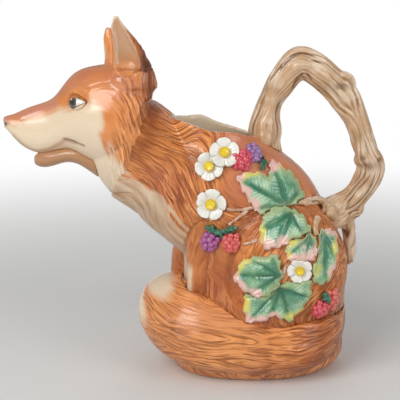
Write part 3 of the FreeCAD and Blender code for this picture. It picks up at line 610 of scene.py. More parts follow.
# Hollow of an ear: level, way forward, length, thickness and way outwards, as shares
EAR_HOLLOW = (
    (0.02, 0.10, 0.20, 0.34, 0.56), (0.20, 0.13, 0.55, 0.62, 0.46), (0.50, 0.19, 0.44, 0.50, 0.34),
    (0.78, 0.29, 0.24, 0.30, 0.22), (0.93, 0.33, 0.08, 0.12, 0.14),
)
# Way from the head into the neck across their seam, and the seam's reach
SEAM_WAY, SEAM_REACH = (0.93, 0, -0.36), 5.0
# Lines of the face, as (x, z)
BROW_LINE = ((-124, 200), (-121, 203), (-116, 205), (-110, 203.5))
BRIDGE_LINE = ((-128, 190), (-124.5, 196), (-124, 201))
MUZZLE_LINE = ((-158, 183.5), (-146, 188), (-133, 192))
CORNER_LINE = ((-127, 169), (-122, 168.4), (-117, 166.4), (-113, 165))
FURROW_LINE = ((-69, 226), (-66, 211), (-64.6, 198), (-65, 185), (-68, 171), (-76, 160))
LIP_LINE = (
    (-165, 170), (-159, 164.5), (-152, 160), (-147, 159.3),
    (-139, 161), (-132, 165), (-126, 168.6), (-119, 167.2),
)


def ear_hollows(co, normal):
    """Masks of the ears' hollows and of the rolled rims round them."""
    hollow, rolled = np.zeros(len(co)), np.zeros(len(co))
    ups, forwards, lengths, thicknesses, outs = np.array(EAR_HOLLOW).T
    least = 0.6 * MM
    for side, share, lead in EARS:
        level = (co[:, 2] - EAR_ROOT_Z * MM) / (share * EAR_HEIGHT * MM)
        middle_x = (EAR_ROOT_X - lead - np.interp(level, ups, forwards) * EAR_LENGTH) * MM
        middle_y = side * (EAR_SPACING / 2 + np.interp(level, ups, outs) * EAR_THICKNESS) * MM
        half_length = np.interp(level, ups, lengths) * EAR_LENGTH / 2 * MM + least
        half_thickness = np.interp(level, ups, thicknesses) * EAR_THICKNESS / 2 * MM + least
        away = np.hypot((co[:, 0] - middle_x) / half_length, (co[:, 1] - middle_y) / half_thickness)
        tall = smoothstep(0.0, 0.30, level) * smoothstep(1.02, 0.92, level)
        open_side = tall * smoothstep(0.0, 0.3, side * normal[:, 1] - 0.2 * normal[:, 0] + 0.25)
        hollow = np.maximum(hollow, smoothstep(1.18, 0.98, away) * open_side)
        rolled = np.maximum(rolled, np.exp(-(((away - 1.35) / 0.22) ** 2)) * open_side)
    return hollow, rolled


class SCULPT_OT_fox_head(bpy.types.Operator):
    """Head with its ears, brow, cheeks and ruff"""
    bl_idname = "pitcher.fox_head"
    bl_label = "Head"

    def execute(self, context):
        clay = Clay("fox_head", ("head_shell", "left_ear", "right_ear"), 0.85, lumps=EAR_ROOTS)
        for middle, radii in EAR_CREASES:
            soften(clay, blob(clay.co, middle, radii), 12)
        seam = nearness(clay.co, "body_shell", SEAM_REACH)
        clay.shift(SEAM_WAY, seam * (0.6 + 4.5 * noise(clay.co / 0.0045, 5)))
        co, flat = clay.co, clay.flat
        upward = follow(co, HEAD_LINE, UP)[1]
        outwards = facing(np.column_stack([0 * upward, co[:, 1], upward]), clay.normal)
        ear = smoothstep(0.216, 0.226, co[:, 2])
        outer = np.maximum(smoothstep(-0.45, -0.15, outwards), ear)
        beside = smoothstep(0.15, 0.45, np.abs(clay.normal[:, 1])) * outer

        # Brow, eye sockets, cheekbones, mouth corners, nostrils and the furrow behind the ruff
        brow = beside_line(flat, BROW_LINE, 2.2)
        socket = blob(co, (-116, 27, 196), (8.5, 9, 6.5))
        lids = almond(flat)
        inner_lid = smoothstep(1.15, 0.85, lids)
        lid = np.exp(-(((lids - 1.18) * 6.0) ** 2))
        cheek = blob(co, (-110, 27, 182), (15, 12, 10))
        muzzle = beside_line(flat, MUZZLE_LINE, 2.4)
        corner = beside_line(flat, CORNER_LINE, 1.0)
        nostril = blob(co, (-170.5, 4.6, 178.2), (2.2, 2.4, 1.5))
        bridge = beside_line(flat, BRIDGE_LINE, 2.0)
        furrow = beside_line(flat, FURROW_LINE, 4.0)
        clay.move(outer * (0.9 * seam))
        side_relief = (1.4 * brow - 0.8 * socket - 2.1 * inner_lid + 0.5 * lid + 0.8 * cheek
                       + 0.6 * muzzle - 1.0 * corner - 0.6 * bridge)
        clay.move(outer * beside * side_relief - outer * (1.6 * nostril + 1.0 * furrow))

        hollow, rolled = ear_hollows(co, clay.normal)
        clay.move(0.5 * rolled)

        # Combing, which turns downwards on the ruff and runs up the ears
        nape = smoothstep(0.3, 0.8, clay.normal[:, 2])
        lean = 6 + (44 - 22 * nape) * smoothstep(-0.116, -0.078, co[:, 0])
        combing = turned(comb(co, HEAD_LINE, UP, 0.030), (0.080, 0.045), lean)
        combing = blended(combing, co[:, [2, 0]], ear)
        edge_noise = (streaks(combing, 10, 2.4, 7) - 0.5) * 4.0
        cream = within(flat + np.column_stack([edge_noise * MM, 0.5 * edge_noise * MM]), CHEEK_OUTLINE, 7.0)
        cream *= 0.15 + 0.85 * smoothstep(0.05, 0.35, np.abs(clay.normal[:, 1]) - clay.normal[:, 2] * 0.5)
        tuft_tips = blob(co, (-93, 30, 164), (8, 20, 7))
        ruff = smoothstep(-0.104, -0.080, co[:, 0] + 0.25 * (0.175 - co[:, 2]))
        smooth = np.clip(1 - ruff - 0.40 * smoothstep(0.190, 0.216, co[:, 2]), 0, 1)
        smooth = np.maximum(smooth, hollow)
        furry = outer * np.clip(1.1 - smooth, 0.0, 1)
        relief = carve_fur(clay, combing, furry * (1 + 0.7 * tuft_tips) * (1 - 0.6 * ear), 1.0, 3, tuft=4.2,
                           hair=2.4, length=10.0, bend=4.5)
        relief = 1 - (1 - relief) * np.clip(furry * 1.2, 0, 1)

        # Paint masks
        tips = smoothstep(0.238, 0.252, clay.co[:, 2])
        ear_skin = ear * (1 - hollow)
        rear_band = ear_skin * smoothstep(-0.094, -0.078, clay.co[:, 0])
        slope = clay.co[:, 0] + 0.25 * (clay.co[:, 2] - 0.215)
        front_edge = ear_skin * (1 - smoothstep(-0.100, -0.092, slope))
        nose = blob(clay.co, (-172, 0, 180), (5, 9, 5))
        curls = tuft_tips * smoothstep(0.50, 0.95, relief)
        upper = smoothstep(0.214, 0.236, clay.co[:, 2])
        cream = np.maximum.reduce([
            cream, hollow * (0.45 + 0.45 * upper), 0.6 * front_edge, 0.8 * tips, 1 - outer, 0.60 * curls])
        # Pink: glaze of the nose, ear tips and muzzle ridge, with painted highlights on the upward faces of the
        # brow and muzzle and on a patch at the temple
        top = smoothstep(0.2, 0.7, clay.normal[:, 2]) * (1 - ear)
        blush = np.clip(0.55 * top * smoothstep(-0.09, -0.13, clay.co[:, 0]) + 0.5 * tips
                        + 0.8 * muzzle * beside + 0.6 * blob(clay.co, (-88, 25, 208), (12, 14, 8))
                        + nose, 0, 1)
        # Painted shadow along the lip line and painted shade in the furrow behind the ruff, laid into the dark,
        # brown and tan masks; the nostrils and mouth corners are drawn dark, and the eye sockets and the ears'
        # rear rims are darker brown
        shadow = beside_line(clay.flat, LIP_LINE, 1.5) * beside
        dark = np.clip(nostril * 1.2 + 0.6 * corner * beside + 0.25 * furrow * outer, 0, 1)
        rust = np.clip(0.8 * furrow * outer + 0.55 * rear_band + 0.35 * socket * beside + 0.45 * shadow, 0, 1)
        paint_fur(clay, relief, cream=cream, blush=blush, smooth=smooth, dark=dark, rust=rust,
                  bright=0.5 * ruff * (1 - furrow) * (1 - ear) + 0.3 * (1 - ruff),
                  warm=np.maximum.reduce([hollow * (1.1 - 0.3 * upper), 0.5 * front_edge, 0.6 * shadow]))
        clay.finish(fur_material("head_glaze"))
        return {"FINISHED"}


class SCULPT_OT_fox_jaw(bpy.types.Operator):
    """Lower jaw with its lip"""
    bl_idname = "pitcher.fox_jaw"
    bl_label = "Lower jaw"

    def execute(self, context):
        clay = Clay("fox_jaw", ("lower_jaw",), 0.6)
        count = len(clay.co)
        combing = comb(clay.co, JAW_LINE, UP, 0.015)
        rear = smoothstep(-0.125, -0.105, clay.co[:, 0])
        relief = carve_fur(clay, combing, 0.5 * rear, 0.6, 11)
        paint_fur(clay, 1 - (1 - relief) * rear, cream=np.ones(count), warm=0.95 * np.ones(count),
                  smooth=1 - 0.5 * rear)
        clay.finish(fur_material("jaw_glaze"))
        return {"FINISHED"}


# Middle of a thigh as (x, z), and the foot's x, in metres
THIGH_MIDDLE = (0.033, 0.080)
FOOT_X = 0.007
# Length of the tail for each radian round the foot, and its end in degrees
TAIL_GIRTH, TAIL_END = 0.058, 219


def round_foot(clay):
    """Draws the skin in towards the floor, so that the foot is rounded."""
    low = np.clip(1 - clay.co[:, 2] / 0.020, 0, 1) ** 2
    away = np.column_stack([clay.co[:, 0] - FOOT_X, clay.co[:, 1]])
    reach = np.maximum(np.linalg.norm(away, axis=1), 1e-6)
    inward = -away / reach[:, None] * (7.5 * MM * low * smoothstep(0.0, 0.04, reach))[:, None]
    clay.co[:, :2] += inward
    clay.write()


class SCULPT_OT_fox_body(bpy.types.Operator):
    """Body with its neck, thighs, forelegs and filling mouth"""
    bl_idname = "pitcher.fox_body"
    bl_label = "Body and forelegs"

    def execute(self, context):
        clay = Clay("fox_body", ("body_shell", "left_foreleg", "right_foreleg"), 1.46)
        soften(clay, blob(clay.co, (-33, 36, 112), (12, 14, 16)), 10)
        seam = nearness(clay.co, "head_shell", SEAM_REACH)
        clay.shift(SEAM_WAY, -1.0 * seam)
        bib = near(clay.co, (-74, 0, 118), (11, 60, 9))
        throat = near(clay.co, (-94, 0, 133), (9, 60, 9))
        clay.shift((0.7, 0, 0.7), 3.2 * bib)
        clay.shift((-0.7, 0, -0.7), 1.6 * throat)
        round_foot(clay)
        co = clay.co
        combing = comb(co, BODY_LINE, ALONG, 0.045)
        combing[:, 1] += 0.011 * np.exp(-(((combing[:, 0] - 0.052) / 0.018) ** 2))
        level = co[:, 2]
        middle_x = np.interp(level, (0, 0.07, 0.12, 0.15, 0.19), (0.006, 0.014, 0.003, -0.012, -0.024))
        spread = np.column_stack([co[:, 0] - middle_x, co[:, 1], 0 * level])
        neck = smoothstep(-0.045, -0.060, co[:, 0])
        neck_up, neck_side = follow(co, NECK_LINE, UP)[1:]
        neck_heading = np.array([0.69, 0.0, -0.724])
        lift = UP - neck_heading * (UP @ neck_heading)
        lift /= np.linalg.norm(lift)
        neck_spread = lift * neck_up[:, None] + np.cross(neck_heading, lift) * neck_side[:, None]
        outwards = facing(spread, clay.normal) * (1 - neck) + facing(neck_spread, clay.normal) * neck
        outer = smoothstep(-0.25, 0.2, outwards)
        legs = np.maximum(nearness(co, "left_foreleg", 2.0), nearness(co, "right_foreleg", 2.0))
        outer = np.maximum(outer, legs) * smoothstep(-0.9, -0.6, clay.normal[:, 2] + (level > 0.006))

        # Thighs: the hair follows their curve
        east, north = co[:, 0] - THIGH_MIDDLE[0], co[:, 2] - THIGH_MIDDLE[1]
        round_thigh = np.hypot(east, north / 1.18)
        turn = np.arctan2(north, -east)
        thigh = (1 - smoothstep(0.030, 0.050, round_thigh)) * smoothstep(0.030, 0.045, np.abs(co[:, 1]))
        sweep_x, sweep_z = co[:, 0] - 0.090, co[:, 2] - 0.048
        arcs = np.column_stack([-0.055 * np.arctan2(sweep_z, -sweep_x), np.hypot(sweep_x, sweep_z)])
        combing = blended(combing, arcs, thigh)
        combing = blended(combing, comb(co, LEG_LINE, ALONG, 0.010), legs)
        crease = np.exp(-(((round_thigh - 0.0445) / 0.0026) ** 2))
        crease *= smoothstep(0.036, 0.044, np.abs(co[:, 1]))
        crease *= smoothstep(0.0, 0.3, np.cos(turn)) * smoothstep(0.060, 0.075, co[:, 2])
        rim_of_thigh = np.exp(-(((round_thigh - 0.0400) / 0.0040) ** 2)) * smoothstep(0.0, 0.5, np.cos(turn))
        rise = blob(co, (33, 57, 80), (30, 20, 36))
        clay.move(outer * (-0.9 * crease + 0.5 * rise))

        edge_noise = (streaks(combing, 16, 3.5, 27) - 0.5) * 12.0
        ragged = clay.flat + np.column_stack([edge_noise, 0.5 * edge_noise]) * MM
        chest = within(ragged, CHEST_OUTLINE, 4.0) * outer * (1 - legs)
        back = smoothstep(0.118, 0.140, clay.co[:, 2]) * smoothstep(-0.030, 0.000, clay.co[:, 0]) * outer
        valley = blob(co, (-15, 48, 74), (14, 22, 28))
        smooth = np.clip(0.6 * back + 0.45 * legs + 0.5 * rim_of_thigh + 0.5 * valley, 0, 1)
        depth = outer * (1 - 0.7 * back) * (1 - 0.6 * legs) * (1 + 0.35 * neck)
        depth *= 0.25 + 0.75 * smoothstep(0.010, 0.030, level)
        depth *= 1 - 0.65 * valley
        relief = carve_fur(clay, combing, depth, 1.3, 21, tuft=5.2, hair=3.4, length=15.0, bend=9.0)
        relief = 1 - (1 - relief) * outer
        inside = (1 - outer) * (level > 0.006)
        blush = np.clip(0.75 * back + 0.3 * blob(clay.co, (-60, 30, 150), (14, 20, 10)), 0, 1)
        blush *= 0.6 + 0.4 * noise(clay.co / 0.018, 31)
        furrow = beside_line(clay.flat, FURROW_LINE, 6.0)
        # Darker brown: painted shade in the thigh crease, towards the bottom below the thigh, in the furrow and
        # at the seam under the head; the forelegs, the neck and a patch behind the foreleg are darker fur
        low = smoothstep(0.075, 0.045, clay.co[:, 2]) * (1 - rim_of_thigh)
        foot = smoothstep(0.020, 0.008, clay.co[:, 2])
        low *= 1 - foot
        rust = np.clip(0.55 * crease + 0.45 * low + 0.55 * furrow + 0.6 * seam + 0.25 * legs + 0.15 * neck
                       + 0.45 * blob(clay.co, (-18, 50, 88), (9, 20, 30)), 0, 1) * outer
        # Tan streaks in the cream chest: peach-brown locks, which also darken the bib as painted shade under the
        # chin
        warm = np.clip(chest * (0.15 + 0.75 * streaks(combing, 14, 3, 37)), 0, 1)
        leg_cream = 0.8 * legs * smoothstep(-0.2, -0.8, clay.normal[:, 0]) * smoothstep(0.090, 0.075, level)
        pale = np.maximum.reduce([0.95 * chest, inside, leg_cream * (co[:, 1] < 0)])
        paint_fur(clay, relief, cream=pale, blush=blush, rust=rust,
                  bright=0.7 * foot, smooth=np.maximum(smooth, inside),
                  warm=np.maximum(warm, 0.30 * rim_of_thigh * outer) * (1 - inside))
        clay.finish(fur_material("body_glaze"))
        return {"FINISHED"}


class SCULPT_OT_fox_tail(bpy.types.Operator):
    """Tail that wraps round the foot"""
    bl_idname = "pitcher.fox_tail"
    bl_label = "Tail"

    def execute(self, context):
        clay = Clay("fox_tail", ("tail",), 1.0)
        clay.shift((-1.0, -0.15, 0.0), 5.0 * near(clay.co, (-64, -24, 46), (20, 36, 17)))
        clay.shift((-1.0, 0.0, -0.3), 2.0 * near(clay.co, (-66, -10, 66), (18, 40, 14)))
        round_foot(clay)
        turn = np.arctan2(clay.co[:, 1], clay.co[:, 0] - FOOT_X)
        turn = np.where(turn > math.radians(75), turn - math.tau, turn)
        bow_turn, bow_height, bow_reach = np.array(TAIL_BOW).T
        height = np.interp(-turn, np.radians(bow_turn), bow_height * MM)
        reach = np.interp(-turn, np.radians(bow_turn), bow_reach * MM)
        distance = np.hypot(clay.co[:, 0] - FOOT_X, clay.co[:, 1])
        along = -TAIL_GIRTH * turn
        rise = clay.co[:, 2] - height
        combing = np.column_stack([along, rise + 0.8 * np.clip(rise / (8 * MM), -1, 1) * (reach - distance)])
        outer = smoothstep(-0.9, -0.6, clay.normal[:, 2] + (clay.co[:, 2] > 0.004))
        length = math.radians(TAIL_END) * TAIL_GIRTH
        ragged = 0.003 * (streaks(combing, 16, 4, 59) - 0.5)
        tip = smoothstep(0.90 * length, 0.99 * length, along + ragged)
        place = clay.co[:, 0] + ragged
        ridge = smoothstep(0.60, 0.92, clay.normal[:, 2]) * smoothstep(-0.044, -0.060, place)
        front = smoothstep(-0.66, -0.94, clay.normal[:, 0]) * smoothstep(-0.062, -0.072, place)
        front *= 0.35 + 0.65 * smoothstep(0.030, 0.055, clay.co[:, 2])
        cream = np.clip(np.maximum.reduce([0.9 * tip, ridge, front]), 0, 1)
        # Painted sheen: mauve-pink patches on the top of the tail
        sheen = blob(clay.co, (-38, 62, 62), (20, 14, 13)) + 0.8 * blob(clay.co, (0, 64, 52), (30, 12, 7))
        blush = np.clip(0.7 * sheen * (0.5 + 0.5 * noise(clay.co / 0.02, 57)), 0, 1)
        # Painted shade: darker brown on the underside of the tail and towards its rear, the side away from the
        # lamp
        rust = 0.35 * smoothstep(0.15, -0.6, clay.normal[:, 2]) * smoothstep(-0.03, 0.02, clay.co[:, 0])
        rust = rust + 0.35 * smoothstep(0.020, 0.065, clay.co[:, 0])
        smooth = np.clip(0.75 * sheen + cream, 0, 0.9)
        relief = carve_fur(clay, combing, outer * (1 - 0.7 * smooth), 1.3, 53,
                           tuft=5.2, hair=3.0, length=18.0, bend=6.0)
        relief = 1 - (1 - relief) * (1 - 0.7 * smooth)
        # The front of the tail gets the pale hair glaze: painted light on the side that faces the lamp
        paint_fur(clay, relief, cream=cream, blush=blush, rust=rust, smooth=smooth,
                  bright=0.95 * smoothstep(0.045, -0.005, clay.co[:, 0]))
        clay.finish(fur_material("tail_glaze"))
        return {"FINISHED"}


# The handle and its twigs
def bark_material(name):
    """Tan glaze on bark: pale ridges, brown and olive glaze lying in the grooves."""
    bench, place, end = new_material(name)
    combing = bench.painted("combing", vector=True)
    relief = bench.painted("relief")
    height = bench.group(GROUPS["strokes"], {"Combing": combing, "Fineness": 0.8}, ["Height"])[0]
    ridge = bench.band(relief, 0.15, 0.80)
    colour = bench.mix(bench.band(bench.noise(place, 60.0, 2.0), 0.4, 0.65), GLAZE.bark, GLAZE.bark_light)
    olive = bench.mix(bench.band(bench.noise(place, 35.0, 1.0), 0.45, 0.6), GLAZE.bark_dark, GLAZE.bark_olive)
    pools = bench.minus(1.0, bench.times(ridge, bench.band(height, 0.0, 1.0, 0.80, 1.0)))
    colour = bench.mix(bench.times(pools, 0.92), colour, olive)
    stain = bench.band(bench.noise(place, 42.0, 2.0), 0.54, 0.70, 0.0, 0.45)
    colour = bench.mix(stain, colour, GLAZE.bark_olive)
    colour = bench.mix(bench.painted("dark"), colour, GLAZE.bark_dark)
    return end(colour, height, 0.22, gloss=0.12)


def carve_bark(clay, combing, depth, seed, length, width):
    """Cracks and swellings along the bark; gives back the cracks' relief from 0 to 1."""
    wave = noise(clay.co / 0.016, seed + 5) - 0.5
    swayed = combing + np.outer(wave, (0, 6.0 * MM))
    cracks = hair_lines(swayed, length, width, seed, sway=1.0)
    fine = hair_lines(swayed, 0.6 * length, 0.5 * width, seed + 11)
    swell = streaks(combing, 20, 7, seed + 2)
    relief = 0.6 * cracks + 0.4 * fine
    clay.move((1.3 * (relief - 1) + 1.1 * (swell - 0.55)) * depth)
    clay.paint("combing", np.column_stack([swayed, np.zeros(len(swayed))]))
    return relief


SPUR_LINE = ((76, -2, 112), (77, -5, 90), (79, -7, 76))
TWIG_LINE = ((62, -4, 112), (54, -30, 123), (43, -50, 127), (31, -55, 128))
# Eggs of clay where the branch swells, and the joints that they make smooth
HANDLE_LUMPS = (
    ((60, -16, 116), (8, 9, 6), 20), ((13.5, -2, 170), (10, 11, 10), 10), ((80, -2, 116), (7, 8, 8), 30),
    ((86, -2, 152), (8, 9, 6), 0), ((70, -2, 207), (9, 8, 7), 40),
)
HANDLE_JOINTS = (((60, -14, 116), (16, 16, 14)), ((79, -3, 108), (14, 14, 12)), ((70, -2, 208), (12, 12, 12)),
                 ((86, -2, 152), (13, 13, 11)))
# Knots and pits of the bark: middle, radii and height
KNOTS = (
    ((84, -9, 155), (5, 5, 5), 1.4), ((94, -6, 153), (5, 6, 4), 1.2), ((71, -7, 212), (6, 6, 5), 1.2),
    ((14, -10, 166), (8, 6, 8), 1.3), ((84, 8, 140), (6, 6, 6), 1.0), ((46, 8, 222), (9, 6, 5), 0.9),
)
PITS = (
    ((84, -12, 154), (2.0, 4, 2.0), 1.0), ((96, -9, 153), (1.6, 4, 1.6), 0.9),
    ((66, -9, 205), (5, 6, 2.2), 0.8), ((60, -10, 118), (7, 7, 4), 1.2),
    ((24, -11, 186), (2, 6, 12), 0.7), ((89, -9, 148), (5, 6, 3), 0.8),
)


class SCULPT_OT_handle(bpy.types.Operator):
    """Branch handle that grows into its spur and twigs"""
    bl_idname = "pitcher.handle"
    bl_label = "Branch handle"

    def execute(self, context):
        for name, nodes, grain, depth in (
                ("branch_handle", ("handle", "handle_spur", "upper_twig"), 0.72, 1.5),
                ("low_twig", ("lower_twig",), 0.45, 0.6)):
            clay = Clay(name, nodes, grain, lumps=HANDLE_LUMPS if depth > 1 else ())
            soften(clay, sum(near(clay.co, middle, radii) for middle, radii in HANDLE_JOINTS).clip(0, 1), 8)
            combing = comb(clay.co, HANDLE_LINE, ACROSS, 0.011)
            for line in (SPUR_LINE, TWIG_LINE):
                share = beside_line(clay.co, line, 6.0)
                if line is TWIG_LINE:
                    share *= smoothstep(0.060, 0.045, clay.co[:, 0])
                combing = blended(combing, comb(clay.co, line, ALONG, 0.006), share)
            knot = sum(size * near(clay.co, middle, radii) for middle, radii, size in KNOTS)
            pit = sum(size * near(clay.co, middle, radii) for middle, radii, size in PITS)
            clay.move(1.7 * knot - 1.5 * pit)
            relief = carve_bark(clay, combing, depth, 61, length=42.0 * grain, width=7.0 * grain)
            clay.paint("relief", relief)
            clay.paint("dark", np.clip(0.9 * pit, 0, 1))
            clay.finish(bark_material(f"{name}_glaze"))
        return {"FINISHED"}


# Leaves: root and tips of the main veins, then yellow, pink and deep green places, all as (x, z)
LEAVES = {
    "shoulder_leaf": ((28.5, 127), ((-4, 144.5), (18, 154.5), (38, 136.5), (5, 125.5)),
                      ((-0.4, 147.9), (5.2, 150.7), (23.9, 154.5)),
                      ((-6, 146.9), (-0.3, 137.3), (5.5, 128.7), (15.4, 157.4), (19.2, 153.6)),
                      ((34.4, 142.1), (36.4, 136.4), (27.1, 131.6), (20, 139))),
    "side_leaf": ((30, 123), ((11, 113), (21, 103), (37, 112)), ((10.4, 111.2), (11.5, 105.3)),
                  ((15.3, 103.4), (22.9, 105.3)), ((29, 119), (24, 113))),
    "flank_leaf": ((42.5, 108.5), ((29, 96), (40, 93), (46, 98)), ((29.5, 104.4), (28.3, 95.5)),
                   ((38.2, 97.5), (44.9, 96.5), (33, 93.5), (43, 93)), ((42, 106),)),
    "rump_leaf": ((52, 109.5), ((54, 77.5), (60, 94), (47, 86)), ((49.5, 86), (60.5, 99)),
                  ((58.8, 111.2), (58.6, 83.6)), ((52, 104), (53, 92))),
    "thigh_leaf": ((21.5, 82), ((-8, 80), (5, 91), (4, 69), (17, 93)),
                   ((-4.5, 87.6), (-1.7, 91.6), (-8.3, 80.7)),
                   ((-3.5, 73.7), (6.2, 68.7), (-9, 77)), ((20, 81), (12, 81), (15, 87))),
    "haunch_leaf": ((23, 73), ((-0.5, 64.7), (4.5, 51.5), (16, 51.5), (29.6, 48), (43, 66)),
                    ((0.5, 58.6), (-0.5, 62.6), (29.6, 52.6), (37.3, 53.6)),
                    ((2.5, 49.5), (10.3, 49.5), (18, 51.5)),
                    ((22.5, 70), (33, 66), (8, 63))),
}


def leaf_material(name):
    """Green glaze round the veins, running out to yellow and then to pink at the edges."""
    bench, place, end = new_material(name)
    vein, edge = bench.painted("vein"), bench.painted("edge")
    mottle = bench.times(bench.minus(bench.noise(place, 190.0, 3.0), 0.5), 0.6)
    cloud = bench.band(bench.noise(place, 120.0, 2.0), 0.35, 0.65)
    green = bench.mix(cloud, GLAZE.leaf_green, GLAZE.leaf_teal)
    thin = bench.plus(bench.painted("thin"), mottle)
    colour = bench.mix(bench.band(thin, 0.26, 0.80), green, GLAZE.leaf_pale)
    deep = bench.band(bench.plus(bench.painted("deep"), mottle), 0.30, 0.95)
    colour = bench.mix(bench.times(deep, 0.75), colour, GLAZE.leaf_teal)
    colour = bench.mix(bench.times(bench.band(edge, 0.8, 0.1), 0.65), colour, GLAZE.leaf_lime)
    lime = bench.band(bench.plus(bench.painted("lime"), mottle), 0.20, 0.85)
    pink = bench.band(bench.plus(bench.painted("pink"), mottle), 0.20, 0.80)
    colour = bench.mix(lime, colour, GLAZE.leaf_yellow)
    colour = bench.mix(pink, colour, GLAZE.leaf_pink)
    keep = bench.minus(1.0, bench.times(bench.larger(lime, pink), 0.65))
    colour = bench.mix(bench.times(bench.times(vein, 0.85), keep), colour, GLAZE.leaf_dark)
    return end(colour, bench.noise(place, 500.0, 2.0), 0.10, gloss=0.10)


def edge_distance(clay):
    """Distance of each vertex from the leaf's cut edge, seen from the side."""
    rim = clay.flat[np.abs(clay.normal[:, 1]) < 0.30]
    best = np.full(len(clay.flat), np.inf)
    for start in range(0, len(rim), 64):
        away = clay.flat[:, None, :] - rim[None, start:start + 64, :]
        best = np.minimum(best, (away ** 2).sum(2).min(1))
    return np.sqrt(best)


def spots(flat, places, radius):
    """1 at each of the (x, z) places, fading out over the radius, all in millimetres."""
    shares = [np.exp(-((flat - place) ** 2).sum(1) / radius ** 2) for place in np.array(places, float)]
    return np.max(shares, axis=0)


class SCULPT_OT_leaves(bpy.types.Operator):
    """Leaves with their veins and pleats"""
    bl_idname = "pitcher.leaves"
    bl_label = "Leaves"

    def execute(self, context):
        for label, (root, tips, yellows, pinks, deeps) in LEAVES.items():
            clay = Clay(label.replace("_leaf", "_vine_leaf"), (label,), 0.5, smoothing=2)
            flat = clay.flat / MM + 1.6 * (noise(clay.co / 0.006, 67)[:, None] - 0.5)
            root = np.array(root, float)
            nearest, along_share = np.full(len(flat), np.inf), np.zeros(len(flat))
            run_along = np.zeros(len(flat))
            for tip in tips:
                run = np.array(tip) - root
                reach = np.linalg.norm(run)
                along = (flat - root) @ run / reach
                foot = root + np.clip(along, 0, reach * 1.1)[:, None] * run / reach
                away = np.linalg.norm(flat - foot, axis=1)
                closer = away < nearest
                nearest[closer], run_along[closer] = away[closer], along[closer]
                along_share[closer] = np.clip(along[closer] / reach, 0, 1)
            edge = np.minimum(edge_distance(clay) / MM, 12)
            midrib = np.exp(-((nearest / (1.5 - 0.8 * along_share)) ** 2))
            wave = (run_along - 0.8 * nearest) / 2.5 + 0.6 * (noise(clay.co / 0.005, 71) - 0.5)
            pleat = np.abs(wave - np.round(wave)) * 2
            rib = np.exp(-((pleat / 0.38) ** 2)) * smoothstep(0.3, 1.2, nearest)
            top = smoothstep(-0.15, -0.5, clay.normal[:, 1])
            dome = smoothstep(0.0, 3.5, nearest) * smoothstep(0.0, 2.5, edge)
            clay.move(top * (-0.7 * midrib - 0.14 * rib + 0.55 * dome - 0.5 * smoothstep(1.4, 0.0, edge)))
            fade = smoothstep(8.0, 1.0, edge)
            vein = midrib * (1 - 0.65 * along_share) + 0.18 * rib * (1 - 0.5 * along_share)
            clay.paint("vein", np.clip(vein, 0, 1) * top)
            clay.paint("edge", np.clip(edge / 6.0, 0, 1))
            patch = 0.5 + 0.9 * (noise(clay.co / 0.007, 73) - 0.5)
            past_root = smoothstep(0.0, 0.5, along_share)
            clay.paint("thin", np.clip(0.20 + 0.75 * patch * dome * (1 - 0.4 * rib) * past_root, 0, 1))
            clay.paint("deep", spots(flat, deeps, 6.5))
            lime_edge, pink_edge = smoothstep(2.0, 0.2, edge), smoothstep(1.0, 0.1, edge)
            clay.paint("lime", spots(flat, yellows, 5.0) * (0.30 + 0.60 * fade) + 0.10 * lime_edge)
            clay.paint("pink", spots(flat, pinks, 5.5) * (0.40 + 0.60 * fade) + 0.28 * pink_edge)
            clay.finish(leaf_material(f"{label}_glaze"))
        return {"FINISHED"}


def plain_material(name, light, dark, depth=0.15, scale=220.0, gloss=0.06):
    """A glaze that runs thin and light on the high places and gathers dark in the low ones."""
    bench, place, end = new_material(name)
    cloud = bench.band(bench.noise(place, scale, 2.0), 0.35, 0.68)
    colour = bench.mix(bench.times(cloud, 0.5), linear(*light), linear(*dark))
    colour = bench.mix(bench.painted("dark"), colour, linear(*dark))
    return end(colour, bench.noise(place, scale * 1.5, 2.0), depth, gloss=gloss)


class SCULPT_OT_calyxes(bpy.types.Operator):
    """Leafy caps of the berries"""
    bl_idname = "pitcher.calyxes"
    bl_label = "Berry caps"

    def execute(self, context):
        settings = context.scene.pitcher_glaze
        for label in ("upper_calyx", "middle_calyx", "low_calyx"):
            clay = Clay(label.replace("calyx", "berry_cap"), (label,), 0.45, smoothing=2)
            edge = edge_distance(clay) / MM
            crease = 1 - locks(clay.co, 3.0 * MM, 1.8 * MM, 77, 0.15)
            top = smoothstep(-0.15, -0.5, clay.normal[:, 1])
            clay.move(top * (0.5 * smoothstep(0.0, 1.8, edge) - 0.4 * crease - 0.5 * smoothstep(1.2, 0, edge)))
            clay.paint("dark", np.clip(0.8 * crease, 0, 1))
            material = plain_material(f"{label}_glaze", settings.leaf_teal, settings.leaf_dark)
            clay.finish(material)
        return {"FINISHED"}


# Flowers
def seat_of(node):
    """Middle of a flower's button, the way it faces, and two directions across it."""
    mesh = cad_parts[node].data
    normals = np.array([p.normal[:] for p in mesh.polygons])
    areas = np.array([p.area for p in mesh.polygons])
    centres = np.array([p.center[:] for p in mesh.polygons])
    best = max(range(len(areas)), key=lambda i: areas[np.abs(normals @ normals[i] - 1) < 1e-4].sum()
               if normals[i][1] < 0 else 0)
    same = np.abs(normals @ normals[best] - 1) < 1e-4
    middle = (centres[same] * areas[same, None]).sum(0) / areas[same].sum()
    outwards = normals[best]
    across = ALONG - outwards * (outwards @ ALONG)
    across /= np.linalg.norm(across)
    return middle, outwards, across, np.cross(outwards, across)


# Width of each flower as a share, and where its first petal points, in degrees
FLOWERS = {
    "rim_flower": (0.96, 20), "nape_flower": (0.92, 50),
    "shoulder_flower": (1.0, 10), "thigh_flower": (0.8, 35),
}


